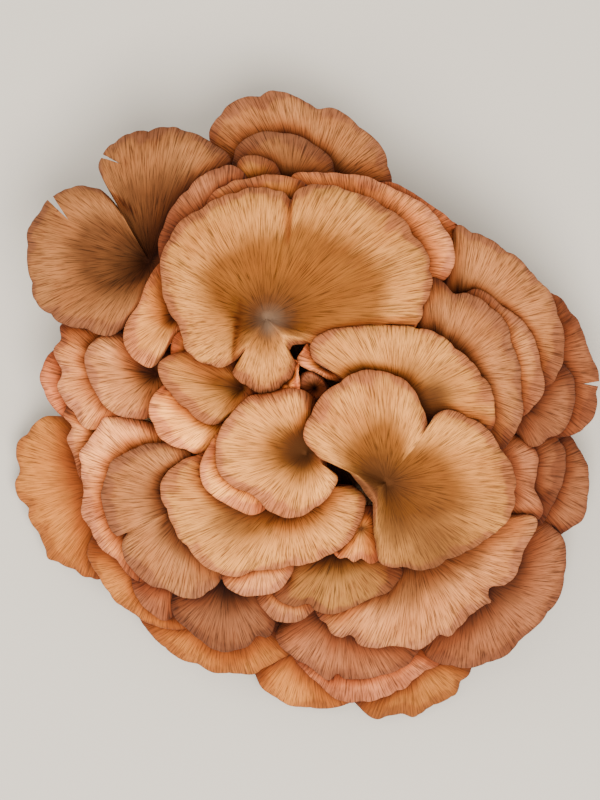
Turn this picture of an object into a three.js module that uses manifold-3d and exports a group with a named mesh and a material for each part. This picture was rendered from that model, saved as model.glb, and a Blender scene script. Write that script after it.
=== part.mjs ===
// Oyster mushroom cluster, picked whole and standing on its cut base.
// Millimetres, +Z up. The origin is the middle of the flat cut face, and the cluster is longest along Y.
// Every mushroom grew as one body: a fan or funnel cap, the gills that run down under it, and its stem.
import * as THREE from 'three';
import { mergeVertices } from 'three/addons/utils/BufferGeometryUtils.js';
import Module from 'manifold-3d';

const wasm = await Module();
wasm.setup();

// Driving dimensions of the cluster
const clearance = 0.35; // air left where two mushrooms press on each other
const lowestTier = 46; // height of tier 0 over the cut face, on the cluster's axis
const tierStep = 8; // rise from one tier of caps to the next
const droop = 30; // how far a tier has sunk 100 mm out from the axis
const droopReach = 100;

// Driving dimensions of one mushroom
const rimSpacing = 9.4; // distance between two corners of a faceted rim
const fewestCorners = 12;
const mostCorners = 44;
const rimThickness = 1.5;
const hubThickness = 6.5; // flesh over the stem, on a cap of the usual size
const usualRadius = 36;
const thinning = 1.3; // how quickly the flesh thins from hub to rim
const crownHeight = 4; // how far a cap swells between hub and rim
const crownPlace = 1.6; // more than 1 puts the swell nearer to the rim
const rollDepth = 2.6; // how far the margin rolls down, and over which width
const rollWidth = 6;
const rollRadius = 23; // a cap with a shorter radius has a narrower roll
const innerShare = 0.32; // the ring of corners nearest to the hub, as a share of the way out to the rim
const gillDepth = 2.2;
const gillShare = 0.66; // where the gill relief is deepest
const ruffleHeight = 1.1;
const ruffleLengths = [34, 21]; // wave lengths of a margin's ups and downs
const rimSmoothing = 0.09; // share of the rim that one inner ring corner averages over
const smallestSize = 0.4; // a small cap's relief shrinks with it down to this share
const thinnestFlesh = 0.45;
const thickestFlesh = 1.25;
const softening = [0.6, 1.25]; // least and most that softening may change a radius by
const stemShare = 0.16; // stem radius as a share of the cap's mean radius
const thinnestStem = 3.5;
const thickestStem = 8;
const neckFlare = 1.35; // the gills run down onto a neck this much wider than the stem
const neckDrop = 3; // the neck hangs this far under the flesh, and the stem proper starts below it
const collarDrop = 6;
const neckRidges = 0.18; // the gills' relief on the neck, as a share of its radius
const stemSlope = 0.9; // how steeply a stem falls towards the cluster's axis
const lowestAim = 12; // no stem meets the axis lower than this
const longestStem = 150;
const stemStep = 0.25; // the foot is found in steps of this length

// The grown base: radius at each height, with the lumps left by stems that never opened
const baseProfile = [[34, 0], [40, 8], [42, 20], [38, 35], [31, 50], [22, 62], [12, 70]];
const baseTop = 74;
const baseSides = 24;
const baseLumps = [[5, 0.05, 0.4], [8, 0.035, 1.9]]; // count, share of the radius, phase
const tearHeight = 200; // taller than the cluster
const weldDistance = 1e-4;

// Each rim corner is x, y and, where the margin is bent, how far it is lifted
const mushrooms = [
  {
    name: 'crown_kidney', tone: 'pale', tier: 8.4, hub: [29.5, -28], dip: 16, stem: 7,
    rim: [[24, -35], [25, -46, 1], [27.5, -55, 2], [36, -57, 2], [44, -57, 2], [52, -53.5, 1],
      [60, -49.5], [67, -45], [72, -38], [73.5, -30], [70.5, -20], [65, -12], [58, -6], [50, -3.5],
      [45.5, -5], [44, -9], [41.5, -3], [37, 5.5], [28, 10, 1], [18, 9, 2], [9, 3, 2], [3, -5, 2],
      [1.5, -13, 2], [6, -19], [12, -22], [17, -25]],
  },
  {
    name: 'crown_fan', tone: 'pale', tier: 8.2, hub: [-11.5, 28], dip: 22, stem: 8,
    rim: [[-2.5, 18.5, -8], [3, 18.8, -14], [10, 16, -16], [20, 15, -16], [30, 17.5, -14], [38, 23, -8],
      [42, 31, -3], [44.5, 40], [43.5, 48], [39, 56], [33, 63], [26, 67.5], [18, 71], [9, 73.5],
      [3, 73.5], [-1.5, 71], [-3, 68.5], [-6, 71], [-13, 72.5], [-22, 71], [-31, 67], [-39, 62],
      [-44.5, 56], [-47.5, 47], [-47, 38], [-44.5, 30], [-41, 24], [-38.5, 17], [-32, 12], [-26, 11],
      [-22.5, 13, -3], [-19, 15, -6], [-22.5, 10, -10], [-19, 5, -12], [-12, 2.5, -12], [-5, 5, -12],
      [-1.5, 12, -10], [-3, 16, -8]],
  },
  {
    name: 'crown_arc', tone: 'pale', tier: 7.6, hub: [32, -2], dip: 14,
    rim: [[62, -14, -4], [66, -8], [66.5, -2], [64.5, 5], [60, 11], [55, 16], [50, 20], [45, 23],
      [39, 24.8], [30, 25.2], [22, 25.6], [14, 24.5], [7, 22], [3, 18], [5, 13], [10, 10], [16, 5],
      [21, -2], [22, -10], [34, -15], [50, -17]],
  },
  {
    name: 'crown_flap', tone: 'pale', tier: 6.8, hub: [9, 12], dip: 4,
    rim: [[4, 20], [0.5, 17], [-1, 13], [2, 10.5], [6, 9], [10, 7], [16, 7], [17, 13], [12, 18]],
  },
  {
    name: 'crown_cup', tone: 'rust', tier: 6.6, hub: [5, 4], dip: 8,
    rim: [[10, 3.5], [8.5, 6.5], [5, 9.5], [1, 9.5], [-1, 6], [0, 2], [4, -1], [8, 0]],
  },
  {
    name: 'crown_petal', tone: 'pale', tier: 7.4, hub: [-4, 5], dip: 3,
    rim: [[0, 3], [-0.3, 8], [-1, 13], [-4.5, 13], [-9, 11], [-10.3, 7.5], [-10, 3], [-6, 0], [-2, -1]],
  },
  {
    name: 'crown_small', tone: 'pale', tier: 7.7, hub: [2, -18], dip: 15, stem: 5.5,
    rim: [[9.5, -17, -8], [10, -11, -8], [9, -5, -8], [5.5, 0.5, -5], [0, 3.8], [-6, 4], [-12, 2.7],
      [-17.5, 1.3], [-22, -3], [-26, -8.5], [-28.3, -14], [-28.5, -20], [-26.5, -25.5], [-22, -29.8],
      [-16.5, -32], [-14.8, -33.5], [-11, -37.3], [-4, -39.5], [2, -38.3], [7, -35], [11, -30],
      [12.5, -25.5], [9, -22.5, -3]],
  },
  {
    name: 'under_small', tone: 'pale', tier: 6.9, hub: [-10, -18], dip: 8,
    rim: [[-13, -8], [-22, -7], [-29.5, -13], [-33, -19], [-34.3, -24.5], [-32.5, -29.5], [-29.3, -33],
      [-25, -35.8], [-21, -37.6], [-17, -39], [-13, -38], [-8, -32], [-3, -24], [-2, -15], [-6, -10]],
  },
  {
    name: 'lower_centre_fan', tone: 'pale', tier: 6.2, hub: [-4, -32], dip: 9,
    rim: [[-36, -19], [-42, -21.5], [-46, -25.5], [-47.5, -31], [-46.5, -36.5], [-44, -41.5],
      [-41, -48], [-36, -54], [-30, -59], [-22, -60.7], [-15, -58.8], [-7, -57.7], [1, -56.5], [8, -54],
      [14, -51.5], [18.5, -46.5], [22, -39], [22.5, -33.5], [19, -29.5], [13, -28.5], [5, -26.5],
      [-6, -24], [-16, -19], [-26, -16.5]],
  },
  {
    name: 'left_inner_upper', tone: 'pale', tier: 6.6, hub: [-20, 4], dip: 10,
    rim: [[-15, 8], [-20, 14], [-30, 17], [-38, 17], [-45, 15], [-48.3, 12.5], [-48.5, 9], [-46.5, 5],
      [-44.5, 2.8], [-43, 0.8], [-40.5, -1.8], [-38.3, -3.2], [-36.5, -5.5], [-32.5, -8.2], [-28, -8.2],
      [-24, -5.5], [-18, -2], [-14, 2]],
  },
  {
    name: 'left_inner_top', tone: 'pale', tier: 6.0, hub: [-33, 15], dip: 4,
    rim: [[-28, 20], [-33, 24], [-40, 24], [-43.3, 21.5], [-44.3, 18], [-44, 14], [-38, 9], [-30, 9],
      [-26, 14]],
  },
  {
    name: 'left_inner_lower', tone: 'pale', tier: 5.8, hub: [-24, -4], dip: 8,
    rim: [[-22, 3], [-32, 6], [-42, 6.5], [-48, 4.5], [-51.3, 0], [-51.8, -5], [-50, -9.5],
      [-47.5, -13.2], [-43, -15.8], [-38.5, -17.2], [-36, -18.5], [-33, -18.6], [-30.5, -16.5],
      [-28, -13], [-20, -10], [-18, -4]],
  },
  {
    name: 'left_fold', tone: 'pale', tier: 6.0, hub: [-42, 30], dip: 6,
    rim: [[-40, 46], [-46, 49], [-51, 44], [-53.5, 39], [-55.5, 33.5], [-58.5, 29], [-60.3, 25],
      [-60.3, 19.5], [-58.5, 15.5], [-55, 12.8], [-51, 11.2], [-47.5, 14], [-44.5, 19], [-40, 22],
      [-34, 24], [-32, 34]],
  },
  {
    name: 'left_funnel', tone: 'tan', tier: 5.6, hub: [-53, 49], dip: 22, stem: 7,
    rim: [[-41, 50, -5], [-39, 58], [-34, 67], [-27, 77], [-24, 83], [-27, 87.5], [-32, 91],
      [-37.5, 93.5], [-43, 96], [-48.5, 96], [-54, 95.3], [-60, 94], [-66, 91], [-69.5, 86], [-71, 82],
      [-69.8, 78.6], [-66.8, 73.2], [-63.4, 67.4], [-66.2, 70.4], [-70, 73.8], [-75, 75.3], [-80, 75],
      [-85, 73.7], [-89, 70.8], [-93, 66], [-96, 60.5], [-96.7, 56], [-96, 49], [-95, 42], [-93, 36],
      [-89, 30.8], [-83, 27], [-76.5, 25], [-72, 23.5], [-66.5, 22.5], [-62, 24], [-58, 27.5],
      [-52, 32], [-47, 36, -3], [-43, 42, -5]],
    tears: [[[-89, 70.5], [-87, 72.5], [-81, 63]], [[-70, 85], [-69, 86.5], [-62.5, 82.5]],
      [[-67.5, 72.5], [-65, 67.5], [-57, 66.6]]],
  },
  {
    name: 'north_west_curl', tone: 'rust', tier: 6.5, hub: [-24, 48], dip: 10,
    rim: [[-15, 60], [-16, 72], [-19.5, 78.5], [-23, 80.8], [-26.5, 81], [-31, 79], [-36, 75.5],
      [-41, 70.2], [-45, 64.5], [-48, 58], [-48.8, 52.5], [-47.5, 46], [-40, 40], [-30, 38], [-18, 42]],
  },
  {
    name: 'north_rim', tone: 'pale', tier: 7.2, hub: [-8, 52], dip: 13,
    rim: [[6, 60], [6, 70], [2, 74.5], [-5, 76.7], [-11, 77.5], [-17, 75.7], [-23, 75], [-28, 72.2],
      [-31.5, 68], [-32, 60], [-24, 50], [-12, 43], [0, 46]],
  },
  {
    name: 'north_small', tone: 'pale', tier: 5.9, hub: [-14, 72], dip: 3,
    rim: [[-6, 74], [-7, 79], [-8.5, 82], [-11, 83.8], [-15, 85], [-20, 84], [-22.3, 80.5], [-21, 75],
      [-17, 66], [-10, 66]],
  },
  {
    name: 'north_inner', tone: 'tan', tier: 4.9, hub: [-4, 72], dip: 6,
    rim: [[12, 72], [12, 79], [10.7, 85], [7, 88.3], [2.5, 91.3], [-3, 93.6], [-9, 94.2], [-14, 94],
      [-19.5, 91.5], [-23, 87], [-23, 79], [-16, 70], [-6, 63], [6, 65]],
  },
  {
    name: 'north_outer', tone: 'tan', tier: 3.7, hub: [2, 68], dip: 8,
    rim: [[32, 76], [31.8, 81.5], [30.3, 87], [26.5, 92.8], [21, 98], [15, 102.5], [10.5, 104.2],
      [6.3, 103.6], [3.5, 106], [-2.5, 108.7], [-10.3, 110.3], [-15, 108.8], [-21, 107.5], [-27, 104],
      [-30.5, 99], [-32, 94], [-31, 86], [-22, 74], [-8, 60], [8, 58], [24, 66]],
  },
  {
    name: 'north_east_band', tone: 'tan', tier: 6.2, hub: [18, 48], dip: 12,
    rim: [[48, 40], [52, 43.5], [53.7, 48], [53, 53.5], [50.5, 59], [46.5, 64.5], [41.5, 68.7],
      [35.7, 72], [29, 75], [22, 77.7], [15, 78.5], [8, 78.6], [2, 79], [-3, 77.5], [-4, 70], [0, 58],
      [8, 46], [20, 38], [34, 38]],
  },
  {
    name: 'north_east_under', tone: 'tan', tier: 4.8, hub: [32, 52], dip: 6,
    rim: [[58, 52], [56, 60], [51, 64.7], [45, 69], [38, 73.5], [31, 76.5], [22, 72], [18, 58],
      [22, 46], [34, 42], [48, 44]],
  },
  {
    name: 'east_upper_band', tone: 'tan', tier: 4.9, hub: [54, 24], dip: 10,
    rim: [[85.5, 4.5], [88.5, 6], [92, 11.5], [93.3, 17.5], [92.8, 24], [90.5, 31], [87.5, 37.5],
      [84, 42], [79.5, 46], [75.5, 50.3], [71, 53], [66, 56], [60, 59], [55, 60.8], [52.5, 55],
      [50, 46], [46, 36], [44, 24], [48, 12], [60, 5], [74, 3]],
  },
  {
    name: 'east_mid_band', tone: 'tan', tier: 5.6, hub: [52, 10], dip: 10,
    rim: [[79, -4.5], [83, -0.5], [85, 4], [84.3, 11], [83, 18], [80.3, 23.8], [76.3, 28.3], [71.5, 32],
      [65.8, 36.3], [60, 38.5], [54, 34], [46, 24], [42, 12], [44, 0], [54, -6], [68, -8]],
  },
  {
    name: 'east_inner_band', tone: 'tan', tier: 6.4, hub: [47, 8], dip: 12,
    rim: [[60, -18], [69.5, -16.8], [72.5, -13.5], [75.3, -10], [77, -5], [76.7, 3.5], [76.3, 10],
      [74.8, 15], [73, 20], [71.3, 25.5], [68.5, 29.8], [64.8, 32.6], [61, 35.4], [57, 37], [53, 36.5],
      [49.5, 38], [46, 38.8], [42.5, 37.8], [40, 32], [38, 22], [38, 8], [44, -6], [52, -14]],
  },
  {
    name: 'east_outer', tone: 'rust', tier: 2.6, hub: [68, 12], dip: 6,
    rim: [[88, -14], [98.5, -12], [101.7, -10.7], [104.8, -7], [106.5, -2], [107, 3.5], [107.3, 8.6],
      [105, 16], [102.2, 22.9], [100, 28.5], [96.6, 32.3], [93.5, 37], [89, 39], [80, 40], [68, 34],
      [58, 20], [58, 6], [66, -6], [76, -12]],
    tears: [[[108.5, 6.9], [108.5, 4.7], [101.2, 5.8]]],
  },
  {
    name: 'east_lower_fold', tone: 'rust', tier: 3.9, hub: [72, 2], dip: 5,
    rim: [[76, -12], [81, -16.5], [85, -15.7], [87.5, -13.3], [91, -12.3], [94.5, -9.5], [96.5, -4],
      [97.7, 2], [96, 10], [86, 16], [74, 16], [64, 10], [62, 0], [68, -8]],
  },
  {
    name: 'east_low_outer', tone: 'rust', tier: 1.2, hub: [76, -26], dip: 4,
    rim: [[80, -46], [90, -50], [95, -49], [98.8, -46], [102.2, -43.5], [104.3, -39], [104.6, -32],
      [104.8, -25], [102, -19.5], [99, -14.5], [92, -10], [80, -8], [68, -14], [64, -26], [70, -38]],
  },
  {
    name: 'east_low_mid', tone: 'rust', tier: 2.3, hub: [72, -24], dip: 4,
    rim: [[78, -44], [86.5, -44.8], [89.5, -39.5], [92.3, -34.5], [94.3, -28.5], [95.3, -22],
      [94.5, -17], [91, -12.5], [82, -8], [70, -10], [62, -20], [64, -32], [70, -40]],
  },
  {
    name: 'east_low_inner', tone: 'rust', tier: 3.4, hub: [64, -24], dip: 5,
    rim: [[74, -44], [83, -43.5], [86.3, -39.5], [84.8, -35], [83, -31], [84, -26], [84.5, -21],
      [82, -16.5], [78, -13], [68, -8], [58, -14], [56, -26], [62, -38]],
  },
  {
    name: 'south_east_band', tone: 'tan', tier: 4.3, hub: [39, -49], dip: 10,
    rim: [[83.5, -41.3], [72, -40], [60, -38], [46, -37], [32, -44], [22, -52], [12, -64], [5.5, -73],
      [6.5, -76.5], [9.5, -78.5], [11.5, -81.5], [14.5, -83.3], [17.5, -82.5], [20, -85.8],
      [26.5, -87.7], [31.5, -87.2], [35.5, -87.5], [42, -88.5], [46, -86.5], [49, -83], [52.5, -83],
      [56, -80], [60, -76.7], [63, -73], [67, -71], [66, -68.6], [67.5, -66.3], [72.5, -65], [76, -61],
      [78.5, -55.5], [80.5, -50], [83.2, -46]],
  },
  {
    name: 'south_inner', tone: 'pale', tier: 5.2, hub: [13, -50], dip: 9,
    rim: [[35.6, -59.5], [34.3, -63], [30.2, -67.3], [24.4, -68.9], [18.5, -72.2], [10.7, -74.2],
      [5.2, -72.8], [3.3, -71], [-2, -71.5], [-7.8, -68.5], [-10.3, -65], [-6, -56], [2, -46],
      [12, -40], [22, -42], [31, -50]],
  },
  {
    name: 'south_inner_low', tone: 'tan', tier: 4.7, hub: [-3, -60], dip: 4,
    rim: [[-15.2, -68.5], [-12.3, -74], [-8.3, -77.3], [-2, -77.6], [3, -75.3], [6, -71], [5, -60],
      [-2, -52], [-10, -54], [-15, -62]],
  },
  {
    name: 'south_west_inner', tone: 'tan', tier: 5.5, hub: [-13, -51], dip: 5,
    rim: [[-27, -61], [-25, -65], [-19.5, -68], [-13.6, -67.7], [-8, -66], [-4.7, -63], [-2, -58],
      [-4, -48], [-12, -42], [-22, -44], [-27, -53]],
  },
  {
    name: 'south_scallop', tone: 'pale', tier: 6.0, hub: [21, -44], dip: 3,
    rim: [[11, -52], [13.5, -54.5], [16, -54], [18.5, -55.5], [21, -54.3], [24, -56.2], [27, -55.5],
      [29, -50], [30, -42], [25, -36], [16, -38], [11, -45]],
  },
  {
    name: 'west_south_double', tone: 'tan', tier: 5.1, hub: [-35, -34], dip: 9,
    rim: [[-38, -16], [-48.8, -14.7], [-55, -16.2], [-60.6, -18.2], [-65.5, -22], [-67.8, -27],
      [-68.8, -33], [-68.3, -39.5], [-66.3, -44], [-63.5, -47.5], [-60.5, -45.5], [-62, -50],
      [-61.8, -54], [-60, -58], [-56.5, -62], [-52, -65.2], [-48.5, -66], [-44.5, -67.6], [-39, -69],
      [-34, -68.3], [-30.3, -65.5], [-26, -60], [-22, -50], [-22, -40], [-26, -30], [-32, -20]],
  },
  {
    name: 'west_south_outer', tone: 'tan', tier: 3.7, hub: [-47, -30], dip: 5,
    rim: [[-50, -8], [-61.5, -6], [-68.5, -5.7], [-70.5, -9], [-74.5, -14], [-77.5, -18.5], [-77, -25],
      [-76.3, -33], [-76.5, -40], [-73.5, -46.5], [-69.5, -52.3], [-65, -56], [-61, -60.5], [-56, -64],
      [-44, -58], [-38, -46], [-36, -30], [-40, -16]],
  },
  {
    name: 'west_fan', tone: 'tan', tier: 4.7, hub: [-50, 9], dip: 9,
    rim: [[-56, 24], [-64.5, 23.5], [-70, 21.8], [-74, 18.5], [-75.3, 14.5], [-74.3, 10.7],
      [-73.3, 6.8], [-70.3, 1], [-66.4, -3.9], [-61.6, -6], [-56.7, -6.6], [-52, -6], [-46, -2],
      [-40, 6], [-42, 16], [-48, 22]],
  },
  {
    name: 'west_outer_band', tone: 'tan', tier: 3.3, hub: [-61, 9], dip: 5,
    rim: [[-70, 30], [-79, 28.5], [-85, 26.5], [-84.7, 21.5], [-87.5, 18.5], [-86.5, 14.5],
      [-84.3, 10.5], [-85.7, 5], [-82.7, -1], [-79, -6], [-75.5, -10], [-70, -10.5], [-60, -8],
      [-52, 0], [-52, 12], [-58, 22]],
  },
  {
    name: 'west_low', tone: 'rust', tier: 1.9, hub: [-70, 6], dip: 4,
    rim: [[-78, 22], [-88.5, 18], [-92, 12], [-93, 7.5], [-91, 1.5], [-87.5, -3.5], [-83, -7],
      [-72, -8], [-62, 0], [-64, 14]],
  },
  {
    name: 'west_wavy', tone: 'tan', tier: 2.6, hub: [-64, -13], dip: 4,
    rim: [[-80, 0], [-84, -5.5], [-81, -9.5], [-82.5, -14], [-80.5, -19], [-79.5, -24], [-77, -29],
      [-68, -28], [-58, -20], [-58, -8], [-66, -2]],
  },
  {
    name: 'south_west_low_fan', tone: 'amber', tier: 0.2, hub: [-64, -28], dip: 5, stem: 5,
    rim: [[-72, -4], [-85, -5.6], [-92.3, -6.2], [-97, -9.3], [-99.2, -11.5], [-102.7, -15],
      [-103.4, -20], [-102.5, -24.8], [-104.3, -30.5], [-102.7, -36], [-99.5, -39.8], [-99.5, -43],
      [-96.4, -48.2], [-93.3, -53.3], [-92, -58], [-87, -59.7], [-82, -61.5], [-78, -64.7], [-73, -65],
      [-62, -56], [-54, -42], [-52, -26], [-58, -12]],
  },
  {
    name: 'south_west_band', tone: 'amber', tier: 2.1, hub: [-48, -56], dip: 5,
    rim: [[-64, -42], [-74, -48], [-76, -54], [-74.5, -59.5], [-72, -63.7], [-68.5, -68.5],
      [-65.5, -73], [-60, -76.8], [-56, -79.3], [-50, -81.3], [-43, -82.3], [-38, -81], [-30, -70],
      [-32, -56], [-42, -44], [-54, -38]],
  },
  {
    name: 'south_low_band', tone: 'amber', tier: 1.0, hub: [-27, -68], dip: 5,
    rim: [[-62, -72], [-58, -79.5], [-53.5, -84.5], [-49.5, -89.5], [-42.7, -94], [-36.5, -96.5],
      [-30.5, -99], [-22.5, -99.3], [-16, -99], [-11, -96], [-5.5, -93], [2, -88], [2, -74], [-8, -60],
      [-24, -54], [-44, -58]],
  },
  {
    name: 'south_west_small', tone: 'rust', tier: 3.2, hub: [-46, -60], dip: 4,
    rim: [[-60, -58], [-59.5, -65], [-57, -71], [-53, -75.5], [-48, -78.2], [-44.5, -76.5], [-40, -70],
      [-36, -60], [-42, -52], [-52, -50]],
  },
  {
    name: 'south_fan', tone: 'rust', tier: 3.9, hub: [-26, -62], dip: 8,
    rim: [[-44, -66], [-45.5, -72], [-44.3, -76], [-40.5, -80.3], [-36, -84.5], [-31, -88], [-27, -89],
      [-22, -88.2], [-17.7, -86.8], [-15.3, -83.3], [-11.5, -83.7], [-9, -80], [-9.5, -72], [-14, -60],
      [-24, -50], [-36, -54]],
  },
  {
    name: 'south_low_fold', tone: 'rust', tier: 2.6, hub: [15, -70], dip: 5,
    rim: [[-4, -74], [-7.5, -80], [-8.7, -85.5], [-4, -90], [2, -94.3], [7, -98.4], [10.5, -100],
      [13.5, -97.5], [16, -99.8], [22, -100.3], [28, -98.7], [34, -97], [40, -93.8], [43, -88],
      [40, -74], [28, -62], [12, -58], [0, -64]],
  },
  {
    name: 'south_low_wavy', tone: 'rust', tier: 1.7, hub: [19, -76], dip: 5,
    rim: [[-6, -84], [-2, -93], [2, -97.5], [8, -103.8], [13, -107.5], [18.5, -109.5], [24.5, -109],
      [31, -107], [37.5, -104.5], [41, -101], [46, -98], [51, -95], [52, -84], [40, -70], [22, -64],
      [4, -70]],
  },
  {
    name: 'south_low_left', tone: 'amber', tier: 0, hub: [3, -84], dip: 4,
    rim: [[-20, -90], [-17.5, -98], [-14.5, -104], [-10.3, -108.2], [-5, -111.5], [0, -112.6],
      [6.2, -113.3], [12.4, -112.8], [18, -111.5], [26, -106], [26, -92], [16, -78], [0, -72],
      [-14, -78]],
  },
  {
    name: 'south_low_right', tone: 'amber', tier: 0.6, hub: [37, -88], dip: 4,
    rim: [[16, -104], [20.5, -111.5], [24.5, -115.5], [29, -117.2], [33.5, -115.7], [38, -115],
      [41.5, -116.2], [45.5, -114.5], [48.5, -112], [52.7, -110], [56.8, -107.8], [59, -103.7],
      [62, -100], [63, -93], [56, -82], [42, -74], [26, -76], [16, -88]],
  },
  {
    name: 'south_east_outer', tone: 'rust', tier: 1.9, hub: [60, -62], dip: 6, stem: 6,
    rim: [[80, -40], [89, -44], [93.7, -47.5], [96.3, -51.5], [96.8, -58], [96.2, -65], [94.7, -70.5],
      [92, -75.7], [87.5, -80.4], [82.7, -84.5], [79.5, -88.5], [76, -91.7], [71, -94.4], [66, -96.3],
      [61, -96.9], [56, -96.8], [50.5, -95], [45, -91.8], [40, -82], [40, -68], [46, -54], [58, -44],
      [70, -40]],
  },
];

// Skin colours, as the eye reads them
const tones = {
  pale: { color: '#d9b48f', roughness: 0.75 },
  tan: { color: '#bd8a60', roughness: 0.75 },
  rust: { color: '#a9683f', roughness: 0.7 },
  amber: { color: '#b9763f', roughness: 0.55 },
  flesh: { color: '#e4d6c0', roughness: 0.85 },
};

const fullTurn = 2 * Math.PI;
const mix = THREE.MathUtils.lerp;
const clamp = THREE.MathUtils.clamp;

// A draw that is the same on every run, from 0 to 1
function seededDraw(seed) {
  let state = seed * 7919 + 17;
  return () => {
    state = (state * 16807) % 2147483647;
    return state / 2147483647;
  };
}

// Mean over a stretch of a closed list
function smoothed(values, reach) {
  return values.map((_, at) => {
    let sum = 0;
    for (let step = -reach; step <= reach; step += 1) {
      sum += values[(at + step + values.length) % values.length];
    }
    return sum / (2 * reach + 1);
  });
}

// Rim corners at an even spacing, anticlockwise seen from above
function rimCorners(mushroom) {
  const curve = new THREE.CatmullRomCurve3(
    mushroom.rim.map(([x, y, lift = 0]) => new THREE.Vector3(x, y, lift)), true, 'centripetal',
  );
  curve.arcLengthDivisions = 16 * mushroom.rim.length;
  const pairs = clamp(curve.getLength() / rimSpacing, fewestCorners, mostCorners) / 2;
  const corners = curve.getSpacedPoints(2 * Math.round(pairs)).slice(1);
  return THREE.ShapeUtils.area(corners) < 0 ? corners.reverse() : corners;
}

// The rim as seen from the hub, with softened copies that the inner rings follow
function rimFromHub(mushroom) {
  const corners = rimCorners(mushroom);
  const count = corners.length;
  const [hubX, hubY] = mushroom.hub;
  const turns = [];
  for (const { x, y } of corners) {
    const turn = Math.atan2(y - hubY, x - hubX);
    const last = turns.length ? turns[turns.length - 1] : turn;
    turns.push(last + THREE.MathUtils.euclideanModulo(turn - last + Math.PI, fullTurn) - Math.PI);
  }
  const radii = corners.map(({ x, y }) => Math.hypot(x - hubX, y - hubY));
  const reach = Math.max(1, Math.round(count * rimSmoothing));
  const even = turns.map((_, at) => turns[0] + (fullTurn * at) / count);
  const drift = smoothed(turns.map((turn, at) => turn - even[at]), reach);
  const softTurns = even.map((turn, at) => turn + drift[at]);
  const [least, most] = softening;
  const softRadii = smoothed(radii, reach).map(
    (radius, at) => clamp(radius, least * radii[at], most * radii[at]),
  );
  return { corners, count, turns, radii, softTurns, softRadii };
}

// The ups and downs of one margin
function margin(mushroom, seed, count) {
  const draw = seededDraw(seed);
  const around = count * rimSpacing;
  const waves = ruffleLengths.map((length) => ({
    number: Math.max(2, Math.round(around / length)), phase: fullTurn * draw(),
  }));
  return (at) => {
    const heights = waves.map(({ number, phase }) => Math.sin((fullTurn * number * at) / count + phase));
    return (ruffleHeight * heights.reduce((sum, height) => sum + height, 0)) / waves.length;
  };
}

function shelf(x, y, tier) {
  return lowestTier + tierStep * tier - droop * ((x * x + y * y) / droopReach ** 2);
}

// Closed skin over rings of points, each ring having as many corners as the next, half, or twice
function skin(rings) {
  const positions = rings.flatMap(({ points }) => points.flatMap((point) => point.toArray()));
  const faces = [];
  let start = 0;
  rings.slice(1).forEach(({ points, under = false }, index) => {
    const above = rings[index].points.length;
    const below = points.length;
    const segments = Math.max(above, below);
    const upper = (at) => start + Math.floor((at * above) / segments) % above;
    const lower = (at) => start + above + Math.floor((at * below) / segments) % below;
    for (let at = 0; at < segments; at += 1) {
      const corners = [upper(at), lower(at), lower(at + 1), upper(at + 1)];
      if (under && above === below) {
        faces.push([corners[0], corners[1], corners[3]], [corners[1], corners[2], corners[3]]);
      } else {
        faces.push([corners[0], corners[1], corners[2]], [corners[0], corners[2], corners[3]]);
      }
    }
    start += above;
  });
  const solidFaces = faces.filter(([a, b, c]) => a !== b && b !== c && c !== a);
  const geometry = new THREE.BufferGeometry();
  geometry.setAttribute('position', new THREE.Float32BufferAttribute(positions, 3));
  geometry.setIndex(solidFaces.flat());
  return geometry;
}

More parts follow.
